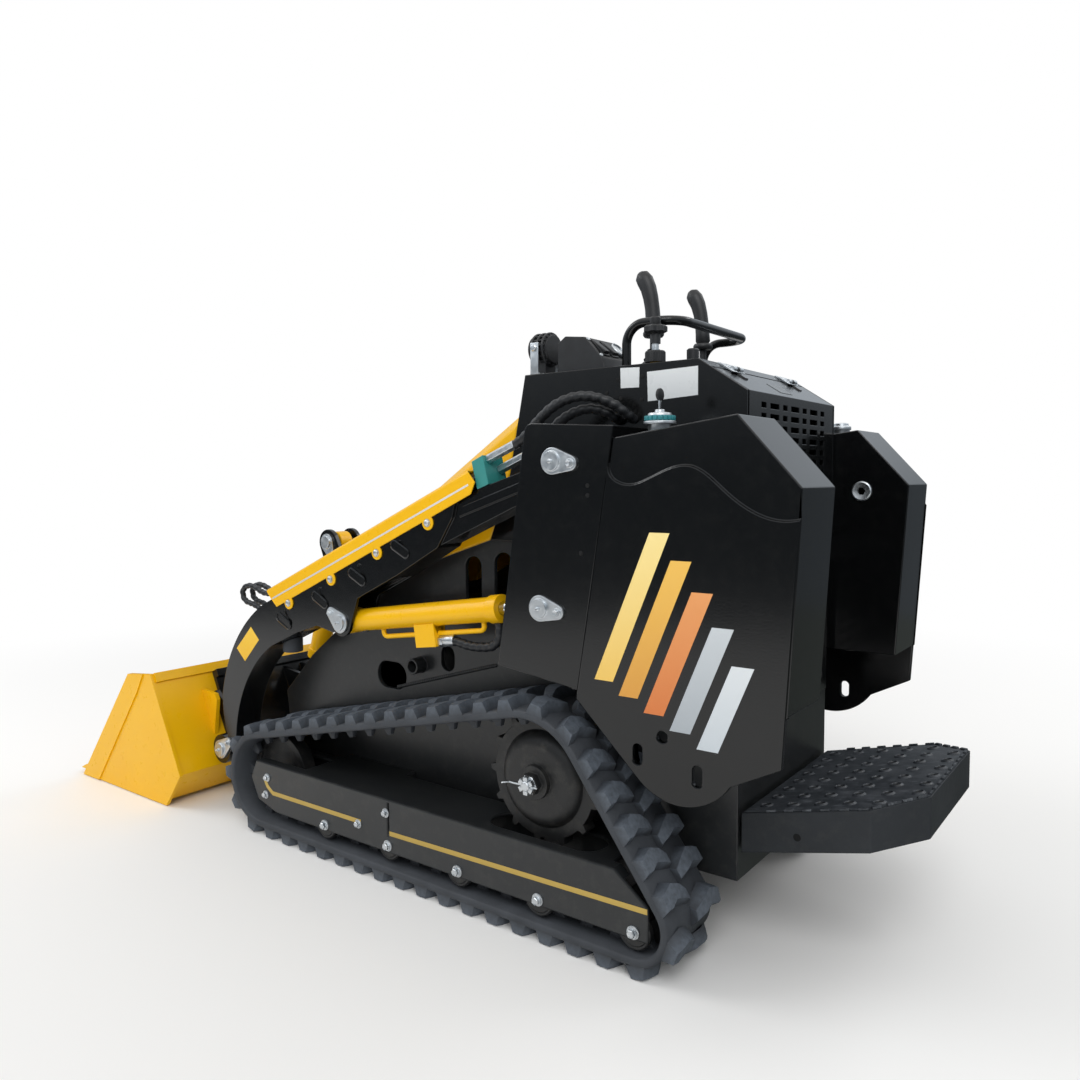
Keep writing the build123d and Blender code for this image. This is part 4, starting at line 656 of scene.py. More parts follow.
# Tank fittings: locking filler cap with its key on the left tank, breather on the right tank and a sight
# glass on its inner face. Screwed zinc die castings, a teal plastic band and a key with a moulded head.
CAP_AT = Vector((-0.826, 0.360, 1.050))
CAP_FLUTES = 18
CAP_R = 0.0265
KEY_R = 0.013
KEY_SIDES = 20
KEY_UP = 0.057
FINE_EDGE = 0.0006
BREATHER_AT = Vector((-0.950, -0.310, 1.052))
SIGHT_AT = Vector((-1.020, -0.250, 0.918))


def moulded(name, colour, rough, texture_mm):
    """Injection-moulded plastic with a fine spark-eroded texture."""
    material, tree, shader = blank(name, rough)
    patchy = spread(tree, noise(tree, 40, 3.0), 0.3, 0.8, 0.0, 0.25)
    skin = noise(tree, texture_mm)
    wear(tree, shader, between(tree, patchy, colour, "#3A3C40"), None, skin, 0.2, 0.0005)
    return material


# Black moulding: dull black plastic that greys in patches. Teal moulding: the same skin in blue-green.
black_moulding = moulded("black_moulding", "#131416", 0.46, 3.0)
teal_moulding = moulded("teal_moulding", "#2E8A92", 0.40, 3.0)
at_cap = Matrix.Translation(CAP_AT)
cap_metal = [
    (turned([(0.022, -0.030), (0.022, 0.002), (0.031, 0.002), (0.031, 0.007), (0.028, 0.009)]), at_cap),
    (turned([(0.024, 0.018), (0.022, 0.023), (0.010, 0.025), (0.0095, 0.029), (0.008, 0.030)]), at_cap),
    (turned([(0.020, 0.0), (0.020, 0.012), (0.023, 0.012), (0.023, 0.020), (0.017, 0.022), (0.017, 0.027),
             (0.012, 0.029)], 24), Matrix.Translation(BREATHER_AT)),
    (box_solid((0.0022, 0.008, 0.020), True), Matrix.Translation(CAP_AT + Vector((0, 0, 0.028)))),
    (turned([(0.023, 0), (0.023, 0.005), (0.020, 0.007), (0.015, 0.005)]), facing_out(*SIGHT_AT) @
     Matrix.Rotation(pi, 4, "X")),
]
cap = assembled("filler_cap", cap_metal, zinc_plate, "chassis", FINE_EDGE)
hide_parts("fuel_cap")
flute = box_solid((0.006, 0.0075, 0.009), True)
flute_places = [at_cap @ Matrix.Rotation(tau * k / CAP_FLUTES, 4, "Z") @ Matrix.Translation((CAP_R, 0, 0.009))
                for k in range(CAP_FLUTES)]
repeated("cap_flutes", meshed(flute, "flute", 0.001), flute_places, teal_moulding, "chassis")
band = turned([(CAP_R, 0.009), (CAP_R, 0.018)])
assembled("cap_band", [(band, at_cap)], teal_moulding, "chassis")
key_outline = []
for k in range(KEY_SIDES):
    rise = sin(tau * k / KEY_SIDES)
    key_outline.append((KEY_R * cos(tau * k / KEY_SIDES), KEY_R * rise * (1.0 if rise > 0 else 0.8)))
key_head = loft([[(0.0025 * s, y, z) for y, z in key_outline] for s in (-1, 1)])
key_place = Matrix.Translation(CAP_AT + Vector((0, 0, KEY_UP)))
assembled("key_head", [(key_head, key_place)], black_moulding, "chassis", SMALL_EDGE)

# Console, hatch, grille and rail: folded sheet and bent tube in the same gloss coat, welded and screwed.
# Blank film plates are stuck on the left side, spare holes show dark, and zinc hinges carry the hatch.
CONSOLE_FACE = 0.250
PLATE_T = 0.0006
WHITE_PLATES = (
    ((-0.671, 1.181), (-0.717, 1.179), (-0.716, 1.138), (-0.672, 1.139)),
    ((-0.735, 1.168), (-0.850, 1.171), (-0.850, 1.114), (-0.737, 1.108)),
)
CONSOLE_HOLES = ((-0.637, 1.131), (-0.664, 1.157), (-0.672, 1.118), (-0.724, 1.160), (-0.722, 1.112))
TOWER_HOLES = ((-0.701, 0.937), (-0.701, 0.918), (-0.685, 0.805))
HOLE_R = 0.004
HINGE_YS = (0.150, -0.150)
SLOPE_TOP = Vector((-0.850, 1.186))
SLOPE_RUN = Vector((-0.103, -0.068)).normalized()
SLOPE_OUT = Vector((SLOPE_RUN.y, -SLOPE_RUN.x))
LEAF_DOWN = 0.012              # down the slope from the console's top edge
SILL_X = -0.826
HATCH_PLATE = (0.068, 0.106, -0.020, 0.046)    # down the slope from and to, across from and to
LEAF_SIZE = (0.036, 0.056, 0.0018)
SCREW_ACROSS = 0.018
SCREW_HEAD = ((0.0048, 0), (0.0044, 0.0014), (0.0026, 0.0022))
SCREW_SPOTS = ((0.014, -0.006), (0.028, 0.010))        # down the hatch's leaf, along the sill's leaf
SCREW_OUT = 0.005
LEAF_OUT = 0.0032
HATCH_EDGE = 0.001
SILL_Z = 1.1862
SILL_SCREW_Z = 1.1880
dress(gloss_black, EASED, "console", "hand_rail")
dress(gloss_black, HATCH_EDGE, "rear_hatch", "rear_grille")
dress(zinc_plate, FINE_EDGE, "hatch_hinges")
# White film: a pale, faintly grey plate with a satin face.
white_film = vinyl("white_film", ("#C9CED1", "#DDE1E3"), 1.10, 1.18, 0.30)
plate_parts = [(side_slab(outline, CONSOLE_FACE, PLATE_T), HERE) for outline in WHITE_PLATES]
assembled("blank_plates", plate_parts, white_film, "chassis")
# Hole shadow: the unlit black of a hole, with no sheen.
deep_black, tree, shader = blank("hole_shadow", 0.9)
wear(tree, shader, between(tree, noise(tree, 10), "#020203", "#08090A"))
# Dark discs in the spare holes: painted shade for their unlit insides.
hole_shade_disc = turned([(HOLE_R * 1.15, -0.001), (HOLE_R * 1.15, 0.0006), (HOLE_R * 0.8, 0.0010)], 14)
hole_shade_places = [facing_out(x, CONSOLE_FACE, z) for x, z in CONSOLE_HOLES]
hole_shade_places += [facing_out(x, side * POD_FACE, z) for x, z in TOWER_HOLES for side in (1, -1)]
repeated("hole_plugs", meshed(hole_shade_disc, "hole_shade_disc"), hole_shade_places, deep_black, "chassis")


def on_slope(down, y, out):
    """Place on the hatch's sloped face, local X down the slope and local Z out of it."""
    spot = SLOPE_TOP + SLOPE_RUN * down + SLOPE_OUT * out
    lean = Matrix(((SLOPE_RUN.x, 0, SLOPE_OUT.x), (0, -1, 0), (SLOPE_RUN.y, 0, SLOPE_OUT.y)))
    return Matrix.Translation((spot.x, y, spot.y)) @ lean.to_4x4()


leaf_parts = []
sill_parts = []
screw_places = []
for y in HINGE_YS:
    leaf_parts.append((box_solid(LEAF_SIZE, True), on_slope(LEAF_DOWN + LEAF_SIZE[0] / 2, y, LEAF_OUT)))
    sill_parts.append((box_solid(LEAF_SIZE, True), Matrix.Translation((SILL_X, y, SILL_Z))))
    for down, along in SCREW_SPOTS:
        for across in (-SCREW_ACROSS, SCREW_ACROSS):
            screw_places.append(on_slope(LEAF_DOWN + down, y + across, SCREW_OUT))
            head_place = Matrix.Translation((SILL_X + along, y + across, SILL_SCREW_Z))
            sill_parts.append((turned(SCREW_HEAD, 14), head_place))
assembled("hinge_leaves", leaf_parts, zinc_plate, "hatch", FINE_EDGE)
assembled("sill_leaves", sill_parts, zinc_plate, "chassis", 0.0004)
down_from, down_to, across_from, across_to = HATCH_PLATE
hatch_plate = box_solid((down_to - down_from, across_to - across_from, PLATE_T), True)
plate_place = on_slope((down_from + down_to) / 2, (across_from + across_to) / 2, 0.0001)
# Grey film: a mid-grey plate that hardly stands out from the coat.
grey_film = vinyl("grey_film", ("#53575A", "#6A6E71"), 1.10, 1.18, 0.30)
assembled("hatch_plate", [(hatch_plate, plate_place)], grey_film, "hatch")
screw = meshed(turned(SCREW_HEAD, 14), "screw")
repeated("hinge_screws", screw, screw_places, zinc_plate, "hatch")

# Instrument box and work lamp: glass-filled nylon box with two rocker switches and an hour gauge, screwed to
# the console, and a die-cast lamp on a zinc strap bracket, its lens to the front.
FACE_MIDDLE = Vector((-0.593, 1.234))
FACE_RUN = Vector((0.044, 0.048)).normalized()
FACE_OUT = Vector((-FACE_RUN.y, FACE_RUN.x))
ROCKERS = (0.208, 0.172)
GAUGE_Y = 0.137
BOX_SCREWS = ((-0.024, 0.228), (0.026, 0.228), (0.026, 0.122))
LAMP_AT = Vector((-0.419, 0.208, 1.244))
LAMP_HALF = 0.041
LAMP_BASE = 1.186
LAMP_FINS = 18
FIN_BACK = 0.028
FIN_R = 0.0315
STRAP_BACK = 0.026
RIB_MM = 7
dress(black_moulding, EASED, "instrument_box", "work_lamp")


def on_face(run, y, out):
    """Place on the box's raked face, local X up the face and local Z out of it."""
    spot = FACE_MIDDLE + FACE_RUN * run + FACE_OUT * out
    lean = Matrix(((FACE_RUN.x, 0, FACE_OUT.x), (0, 1, 0), (FACE_RUN.y, 0, FACE_OUT.y)))
    return Matrix.Translation((spot.x, y, spot.y)) @ lean.to_4x4()


switch_parts = []
for y in ROCKERS:
    switch_parts.append((box_solid((0.050, 0.026, 0.003), True), on_face(0, y, 0)))
    rocker = Matrix.Translation((0, 0, 0.003)) @ Matrix.Rotation(radians(9), 4, "Y")
    switch_parts.append((box_solid((0.040, 0.020, 0.007)), on_face(0, y, 0) @ rocker))
switch_parts.append((turned([(0.021, 0), (0.021, 0.002)], 28), on_face(0, GAUGE_Y, 0)))
assembled("rocker_switches", switch_parts, black_moulding, "chassis", 0.0012)
bezel = turned([(0.0205, 0.001), (0.0205, 0.006), (0.0185, 0.008), (0.0170, 0.006), (0.0165, 0.003)], 32)
box_screws = [(turned([(0.005, 0), (0.0045, 0.002), (0.002, 0.003)], 14), on_face(up, y, 0))
              for up, y in BOX_SCREWS]
assembled("gauge_bezel", [(bezel, on_face(0, GAUGE_Y, 0))] + box_screws, zinc_plate, "chassis")
dial = turned([(0.0165, 0.002), (0.0165, 0.0032)], 28)
assembled("gauge_dial", [(dial, on_face(0, GAUGE_Y, 0))], white_film, "chassis")
bracket_parts = []
strap_x = LAMP_AT.x - STRAP_BACK
for side in (1, -1):
    strap_y = LAMP_AT.y + side * LAMP_HALF
    bracket_parts.append((box_solid((0.022, 0.003, LAMP_AT.z - LAMP_BASE + 0.012), True),
                          Matrix.Translation((strap_x, strap_y, LAMP_BASE))))
    bracket_parts.append((turned([(0.009, 0), (0.009, 0.003), (0.006, 0.006)], 6),
                          Matrix.Translation((strap_x, strap_y + side * 0.001, LAMP_AT.z)) @
                          Matrix.Rotation(-side * pi / 2, 4, "X")))
bracket_parts.append((box_solid((0.026, 2 * LAMP_HALF, 0.003), True),
                      Matrix.Translation((strap_x, LAMP_AT.y, LAMP_BASE))))
assembled("lamp_bracket", bracket_parts, zinc_plate, "chassis", SMALL_EDGE)
fin_middle = Matrix.Translation((LAMP_AT.x - FIN_BACK, LAMP_AT.y, LAMP_AT.z))
fin_places = [fin_middle @ Matrix.Rotation(tau * k / LAMP_FINS, 4, "X") @ Matrix.Translation((0, 0, FIN_R))
              for k in range(LAMP_FINS)]
fin = meshed(box_solid((0.040, 0.0035, 0.005), True), "fin", SMALL_EDGE)
repeated("lamp_fins", fin, fin_places, black_moulding, "chassis")
# Lamp glass: clear, ribbed and polished, pale grey over the reflector.
lamp_glass, tree, shader = blank("lamp_glass", 0.06)
where = add(tree, "ShaderNodeTexCoord").outputs["Object"]
ribs = add(tree, "ShaderNodeTexWave", {"Vector": where, "Scale": grain(RIB_MM) / tau},
           bands_direction="Y").outputs["Fac"]
wear(tree, shader, between(tree, ribs, "#AEB6BC", "#E2E7EA"), None, ribs, 0.5, 0.001)
lens = turned([(0.029, 0.0), (0.029, 0.0015), (0.022, 0.004), (0.010, 0.0055)], 32)
lens_place = Matrix.Translation(LAMP_AT) @ Matrix.Rotation(pi / 2, 4, "Y")
assembled("lamp_lens", [(lens, lens_place)], lamp_glass, "chassis")

# Control levers: rubber bellows on the console, steel stems and moulded grips that lean forward. A screwed
# throttle knob stands beside the left one, on a brass collar.
LEVER_X = -0.676
LEVER_YS = (0.120, -0.120)
CONSOLE_TOP = 1.186
BELLOWS = [(0.034, 0.0), (0.034, 0.004)]
for fold in range(4):
    BELLOWS += [(0.031 - 0.0045 * fold, 0.007 + 0.010 * fold), (0.025 - 0.0045 * fold, 0.012 + 0.010 * fold)]
BELLOWS += [(0.014, 0.047), (0.010, 0.049)]
GRIP_LINE = (                  # forward, up from the console, radius along and across
    (0.000, 0.088, 0.013, 0.013), (0.000, 0.094, 0.0175, 0.0165), (0.001, 0.112, 0.0170, 0.0155),
    (0.003, 0.136, 0.0165, 0.0150), (0.007, 0.160, 0.0170, 0.0155), (0.013, 0.182, 0.0180, 0.0165),
    (0.021, 0.1985, 0.0190, 0.0172), (0.029, 0.2095, 0.0165, 0.0155), (0.034, 0.2150, 0.0090, 0.0090),
)
GRIP_SIDES = 24
KNOB_AT = Vector((-0.738, 0.222, 1.186))
STAR_POINTS = 7
STAR_SIDES = 56
KNURL_SIDES = 60
PLUNGER_AT = (-0.795, 0.165, CONSOLE_TOP)
lever_parts = []
for y in LEVER_YS:
    base = Matrix.Translation((LEVER_X, y, CONSOLE_TOP))
    lever_parts.append((turned(BELLOWS, 28), base))
    lever_parts.append((turned([(0.008, 0.045), (0.008, 0.090)], 16), base))
    lever_parts.append((turned([(0.020, 0.074), (0.023, 0.078), (0.023, 0.084), (0.020, 0.088)], 24), base))
    rings = []
    for k, (x, z, along, across) in enumerate(GRIP_LINE):
        before = GRIP_LINE[max(0, k - 1)]
        after = GRIP_LINE[min(len(GRIP_LINE) - 1, k + 1)]
        lean = atan2(after[0] - before[0], after[1] - before[1])
        rings.append([(x + along * cos(tau * s / GRIP_SIDES) * cos(lean), across * sin(tau * s / GRIP_SIDES),
                       z - along * cos(tau * s / GRIP_SIDES) * sin(lean)) for s in range(GRIP_SIDES)])
    lever_parts.append((loft(rings), base))
levers = assembled("lever_grips", lever_parts, black_moulding, "chassis", crease_deg=50)
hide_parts("control_levers")
at_knob = Matrix.Translation(KNOB_AT)
star = []
for z, grow in ((0.062, 0.7), (0.066, 1.0), (0.076, 1.0), (0.080, 0.75)):
    ring = []
    for k in range(STAR_SIDES):
        turn = tau * k / STAR_SIDES
        reach = (0.0225 + 0.0025 * cos(STAR_POINTS * turn)) * grow
        ring.append((reach * cos(turn), reach * sin(turn), z))
    star.append(ring)
knurl = []
for z, grow in ((0.004, 1.0), (0.024, 1.0), (0.027, 0.9)):
    ring = []
    for k in range(KNURL_SIDES):
        turn = tau * k / KNURL_SIDES
        reach = (0.0205 + (0.0009 if k % 2 else 0.0)) * grow
        ring.append((reach * cos(turn), reach * sin(turn), z))
    knurl.append(ring)
knob_parts = [
    (loft(star), at_knob),
    (loft(knurl), at_knob),
    (turned([(0.011, 0.042), (0.011, 0.062)], 20), at_knob),
    (turned([(0.0105, 0.080), (0.0115, 0.084), (0.0115, 0.094), (0.009, 0.097)], 20), at_knob),
    (turned([(0.013, 0), (0.013, 0.030), (0.010, 0.033)], 20), Matrix.Translation(PLUNGER_AT)),
]
assembled("throttle_knob", knob_parts, black_moulding, "chassis", crease_deg=30)
stem = turned([(0.0075, 0.024), (0.0075, 0.044)], 16)
assembled("throttle_stem", [(stem, at_knob)], zinc_plate, "chassis")
# Brass collar: warm yellow metal, slightly dulled.
brass, tree, shader = blank("brass_collar", 0.34, 1.0)
wear(tree, shader, between(tree, noise(tree, 6, 3.0), "#B08A3C", "#D9BC74"))
collar = turned([(0.012, 0), (0.012, 0.0045)], 6)
core = turned([(0.0135, 0.0), (0.0135, 0.0035), (0.009, 0.005)], 6)
core_place = facing_out(*SIGHT_AT) @ Matrix.Rotation(pi, 4, "X")
assembled("brass_collars", [(collar, at_knob), (core, core_place)], brass, "chassis")

# Operator's platform: folded and welded steel sheet with a punched anti-slip deck, rimmed holes in rows and
# upright teeth on its edges, hung on the mount at the chassis's rear.
DECK_FRONT = Vector((-0.947, 0.290))
DECK_REAR = Vector((-1.279, 0.371))
DECK_HALF = 0.247
CORNER_DOWN = 0.255            # from the front edge, along the deck, to the cut corners
CORNER_HALF = 0.168
STUD_ROWS = 6
STUD_COLUMNS = 8
STUD_FIRST = 0.036
STUD_PITCH = 0.0555
STUD_ACROSS = 0.058
TOOTH = (0.019, 0.007, 0.0045)
TOOTH_PITCH = 0.036
TOOTH_FIRST = 0.062
TEETH = (6, 4, 10)             # along each side, each cut corner and the rear
REAR_PITCH = 0.033
DECK_INSET = 0.004
STUD_MARGIN = 0.016
SKIRT_HOLE = (-1.060, 0.268)
deck_run = (DECK_REAR - DECK_FRONT).normalized()
deck_len = (DECK_REAR - DECK_FRONT).length
deck_lean = atan2(deck_run.y, -deck_run.x)


def on_deck(down, y, yaw=0.0):
    """Place on the tilted deck, local Z square to it."""
    spot = DECK_FRONT + deck_run * down
    return (Matrix.Translation((spot.x, y, spot.y)) @ Matrix.Rotation(deck_lean, 4, "Y") @
            Matrix.Rotation(yaw, 4, "Z"))


def deck_half(down):
    """Half width of the deck at a distance from its front edge."""
    past = max(0.0, (down - CORNER_DOWN) / (deck_len - CORNER_DOWN))
    return DECK_HALF + (CORNER_HALF - DECK_HALF) * past


# Scuffed coat: black under a painted blue-grey sky sheen; boots rub it grey in streaks; mud in its hollows.
sky_sheen_scuffed_coat, tree, shader = blank("sky_sheen_scuffed_coat")
where = add(tree, "ShaderNodeTexCoord").outputs["Object"]
long_way = add(tree, "ShaderNodeMapping", {"Vector": where, "Scale": (1.0, 6.0, 1.0),
                                           "Rotation": (0, 0, 0.5)}).outputs[0]
scrape = add(tree, "ShaderNodeTexNoise", {"Vector": long_way, "Scale": grain(26), "Detail": 5.0})
mud = noise(tree, 55, 7.0, 0.68)
# Blue-grey tones of the coat: a painted reflection of the sky, mottled paler with mud.
sky_sheen_and_mud = between(tree, spread(tree, mud, 0.46, 0.70, 0.0, 0.55), "#2A2E33", "#4A4E54")
rubbed = spread(tree, scrape.outputs["Fac"], 0.54, 0.72, 0.0, 0.40)
bare = between(tree, rubbed, sky_sheen_and_mud, "#7C8289")
wear(tree, shader, bare, spread(tree, mud, 0.3, 0.7, 0.28, 0.62), mud, 0.35, 0.0015)
# Textured black: a coarse powder coat, matt and charcoal, that hides dents.
textured_black = paint("textured_black", "#202326", "#34373B", 0.50, 0.30, 0.05)
textured_black.node_tree.nodes["Principled BSDF"].inputs["Specular IOR Level"].default_value = 0.22
dress(textured_black, PLATE_EDGE, "platform")
deck_sheet = []
for lift in (0.0004, 0.0012):
    ring = []
    for down, share in ((DECK_INSET, 1), (CORNER_DOWN, 1), (deck_len - 0.003, 1), (deck_len - 0.003, -1),
                        (CORNER_DOWN, -1), (DECK_INSET, -1)):
        ring.append((on_deck(down, share * (deck_half(down) - DECK_INSET)) @ Vector((0, 0, lift)))[:])
    deck_sheet.append(ring)
assembled("deck_tread", [(loft(deck_sheet), HERE)], sky_sheen_scuffed_coat, "chassis")
stud_places = []
for row in range(STUD_ROWS):
    for column in range(STUD_COLUMNS):
        down = STUD_FIRST + row * STUD_PITCH
        y = (column - (STUD_COLUMNS - 1) / 2) * STUD_ACROSS
        if abs(y) < deck_half(down) - STUD_MARGIN and down < deck_len - STUD_MARGIN:
            stud_places.append(on_deck(down, y))
rim = turned([(0.0140, 0.0008), (0.0112, 0.0036), (0.0096, 0.0042), (0.0088, 0.0034), (0.0086, 0.0014)], 18)
repeated("deck_rims", meshed(rim, "rim", crease_deg=60), stud_places, sky_sheen_scuffed_coat, "chassis")
# Dark discs inside the rims: painted shade in the punched holes.
hole = turned([(0.0087, 0.0013), (0.0087, 0.0018)], 18)
repeated("deck_holes", meshed(hole, "hole"), stud_places, deep_black, "chassis")
tooth_places = []
tooth_inset = TOOTH[1] / 2 + 0.001
for side in (1, -1):
    for k in range(TEETH[0]):
        tooth_places.append(on_deck(TOOTH_FIRST + k * TOOTH_PITCH, side * (DECK_HALF - tooth_inset)))
    corner_run = Vector((deck_len - CORNER_DOWN, CORNER_HALF - DECK_HALF))
    for k in range(TEETH[1]):
        spot = Vector((CORNER_DOWN, DECK_HALF)) + corner_run * (k + 0.5) / TEETH[1]
        inward = Vector((corner_run.y, -corner_run.x)).normalized() * tooth_inset
        yaw = side * atan2(-corner_run.y, corner_run.x)
        tooth_places.append(on_deck(spot.x + inward.x, side * (spot.y + inward.y), yaw))
for k in range(TEETH[2]):
    y = (k - (TEETH[2] - 1) / 2) * REAR_PITCH
    tooth_places.append(on_deck(deck_len - tooth_inset - 0.001, y, pi / 2))
tooth = meshed(box_solid(TOOTH, True), "tooth", 0.0012)
repeated("deck_teeth", tooth, tooth_places, sky_sheen_scuffed_coat, "chassis")
# Dark discs on the skirt: painted shade in its holes.
skirt_hole = turned([(0.0075, -0.001), (0.0075, 0.0003), (0.006, 0.0004)], 16)
skirt_places = [facing_out(SKIRT_HOLE[0], side * DECK_HALF, SKIRT_HOLE[1]) for side in (1, -1)]
repeated("skirt_holes", meshed(skirt_hole, "skirt_hole"), skirt_places, deep_black, "chassis")

# Engine hood: folded steel sheet, bevelled along its top edges and enamelled, that closes the engine bay
# between the console and the front of the chassis.
HOOD_EDGE = 0.004
# Yellow enamel: a warm, even yellow with a soft shine.
yellow_enamel = paint("yellow_enamel", "#F2BC0A", "#EBB004", 0.28, 0.10, 0.02)
yellow_enamel.node_tree.nodes["Principled BSDF"].inputs["Specular IOR Level"].default_value = 0.3
dress(yellow_enamel, HOOD_EDGE, "engine_hood")

# Lift arms and cross tube: ribbed beams and laser-cut plates in gloss black, welded up as one boom.
# Zinc-plated retainers lock the pins, rubber stops meet the chassis, and each neck has a blank film patch.
NECK_PANEL = ((0.448, 0.548), (0.413, 0.515), (0.480, 0.448), (0.517, 0.481))
ARM_FACE = 0.385
BOOM_LOCKS = (((0.070, 0.595), (0.032, 0.022)), ((0.607, 0.174), (-0.038, 0.026)))
PANEL_T = 0.0004
STOP_EDGE = 0.003
ARM_SLOTS = ((-0.146, 0.789), (0.006, 0.714), (0.149, 0.646), (0.300, 0.578))
SLOT_HALF = 0.021
SLOT_R = 0.0095
SLOT_LIP = 0.0035
SLOT_LEAN = radians(26)
SLOT_SIDES = 28
SLOT_RINGS = ((SLOT_LIP, -0.001), (SLOT_LIP, 0.0022), (0.0006, 0.0034), (0.0, 0.0030), (-0.001, 0.0004))
dress(gloss_black, EASED, "lift_arm_left", "lift_arm_right", "arm_cross_tube")
dress(zinc_plate, EASED, "boom_pins")
lock_places = []
nipple_places = []
for (x, z), (tail_x, tail_z) in BOOM_LOCKS:
    for side in (1, -1):
        lock_places.append(facing_out(x + tail_x, side * (ARM_FACE + LOCK_T), z + tail_z, x))
        nipple_places.append(facing_out(x, side * (ARM_FACE + 2 * LOCK_T), z))
repeated("boom_lock_bolts", lock_bolt, lock_places, zinc_plate, "boom")
repeated("boom_nipples", nipple_mesh, nipple_places, zinc_plate, "boom")
dress(moulded_rubber, STOP_EDGE, "bump_stops")
slots = []
for x, z in ARM_SLOTS:
    tilt = Matrix.Rotation(SLOT_LEAN, 2)
    for side in (1, -1):
        rings = []
        for grow, out in SLOT_RINGS:
            ring = []
            for k in range(SLOT_SIDES):
                turn = tau * (k + 0.5) / SLOT_SIDES
                end = SLOT_HALF if cos(turn) > 0 else -SLOT_HALF
                spot = tilt @ Vector((end + (SLOT_R + grow) * cos(turn), (SLOT_R + grow) * sin(turn)))
                ring.append((spot.x + x, side * (ARM_FACE + out), spot.y + z))
            rings.append(ring)
        slots.append((loft(rings), HERE))
assembled("arm_slot_welds", slots, gloss_black, "boom", crease_deg=50)
# Yellow film: a plain patch, a shade paler than the enamel.
panel_film = vinyl("yellow_film", ("#E8B417", "#F2C63A"), 0.44, 0.56)
panel_parts = [(side_slab(NECK_PANEL, side * ARM_FACE, side * PANEL_T), HERE) for side in (1, -1)]
assembled("neck_panels", panel_parts, panel_film, "boom")

# Arm covers: folded steel sheet in yellow enamel over the tubes, bolted through tabs along the lower edge. A
# pinstripe of pale film runs along each.
COVER_FACE = 0.389
COVER_TABS = ((0.274, 0.629), (0.102, 0.703), (-0.069, 0.777), (-0.240, 0.853))
PINSTRIPE = ((-0.366, 0.9395), (0.342, 0.6355))
PINSTRIPE_W = 0.0045
dress(yellow_enamel, EASED, "arm_cover_left", "arm_cover_right")
# Pale film: an off-white hairline against the yellow.
pale_film = vinyl("pale_film", ("#C4C3BD", "#DAD9D4"), 0.60, 0.96)
pin_line = ribbon(PINSTRIPE, PINSTRIPE_W)
pin_parts = [(side_slab(pin_line, side * COVER_FACE, side * PANEL_T), HERE) for side in (1, -1)]
assembled("cover_pinstripes", pin_parts, pale_film, "boom")
dome = turned([(0.0095, 0), (0.0095, 0.0016), (0.0078, 0.0018), (0.0074, 0.0042), (0.0052, 0.0062),
               (0.0020, 0.0068)], 20)
tab_places = [facing_out(x, side * COVER_FACE, z) for side in (1, -1) for x, z in COVER_TABS]
repeated("cover_bolts", meshed(dome, "dome"), tab_places, zinc_plate, "boom")

# Tubes, manifold and hoses: zinc-plated tubes and screwed fittings, a teal-anodised block on each arm, and
# rubber hoses in a spiral guard that arch over the towers from the console and loop at the arms' front.
WRAP_PITCH = 0.019
WRAP_DEPTH = 0.0020
HOSE_R = 0.0092
FRONT_R = 0.0062
ARM_ROUTES = (
    ((-0.476, 0.361, 1.025), (-0.4985, 0.361, 1.034), (-0.536, 0.357, 1.074), (-0.576, 0.344, 1.110),
     (-0.631, 0.326, 1.124), (-0.681, 0.296, 1.106), (-0.703, 0.274, 1.080), (-0.703, 0.2505, 1.074)),
    ((-0.482, 0.329, 1.002), (-0.5045, 0.329, 1.011), (-0.539, 0.326, 1.046), (-0.575, 0.321, 1.080),
     (-0.621, 0.307, 1.098), (-0.655, 0.2905, 1.092), (-0.671, 0.274, 1.078), (-0.671, 0.2505, 1.072)),
)
FRONT_LOOP = ((0.3395, 0.658), (0.399, 0.6325), (0.474, 0.664), (0.519, 0.648), (0.511, 0.612),
              (0.451, 0.606), (0.411, 0.585))
FRONT_YS = (0.361, 0.329)
FERRULE_AT = (0.340, 0.658)
FERRULE_RUN = Vector((0.0597, -0.0255)).normalized()
HOSE_SIDES = 16
WRAP_STEPS = 7.0               # points of a hose's line for each turn of the guard
dress(zinc_plate, EASED, "arm_tubes")
# Teal anodised: a dull blue-green metal block. Guard rubber: black with a slight sheen.
teal_anodised = paint("teal_anodised", "#2B7B78", "#37908B", 0.34, 0.05, 0.05)
dress(teal_anodised, EASED, "hose_manifold")
guard_rubber = moulded("guard_rubber", "#121417", 0.42, 4.0)

wrapped, wrapped_inputs, given = node_tree(
    "wrapped_hose", "Hoses", ("Routes", "Geometry"), ("Radius", "Float"), ("Wrap Pitch", "Float"),
    ("Wrap Depth", "Float"), ("Rubber", "Material"))
lines = add(wrapped, "GeometryNodeMeshToCurve", {"Mesh": given["Routes"]}).outputs["Curve"]
step = maths(wrapped, "DIVIDE", given["Wrap Pitch"], WRAP_STEPS)
fine = add(wrapped, "GeometryNodeResampleCurve", {"Curve": lines, "Length": step},
           mode="LENGTH").outputs["Curve"]
far = add(wrapped, "GeometryNodeSplineParameter").outputs
marked = add(wrapped, "GeometryNodeStoreNamedAttribute", {
    "Geometry": fine, "Name": "far", "Value": far["Length"]}, data_type="FLOAT", domain="POINT")
circle = add(wrapped, "GeometryNodeCurvePrimitiveCircle", {
    "Resolution": HOSE_SIDES, "Radius": given["Radius"]})
around = add(wrapped, "GeometryNodeStoreNamedAttribute", {
    "Geometry": circle.outputs["Curve"], "Name": "around", "Value": far["Factor"]}, data_type="FLOAT",
    domain="POINT")
tube = add(wrapped, "GeometryNodeCurveToMesh", {
    "Curve": marked.outputs["Geometry"], "Profile Curve": around.outputs["Geometry"], "Fill Caps": True})
read_far = add(wrapped, "GeometryNodeInputNamedAttribute", {"Name": "far"}, data_type="FLOAT")
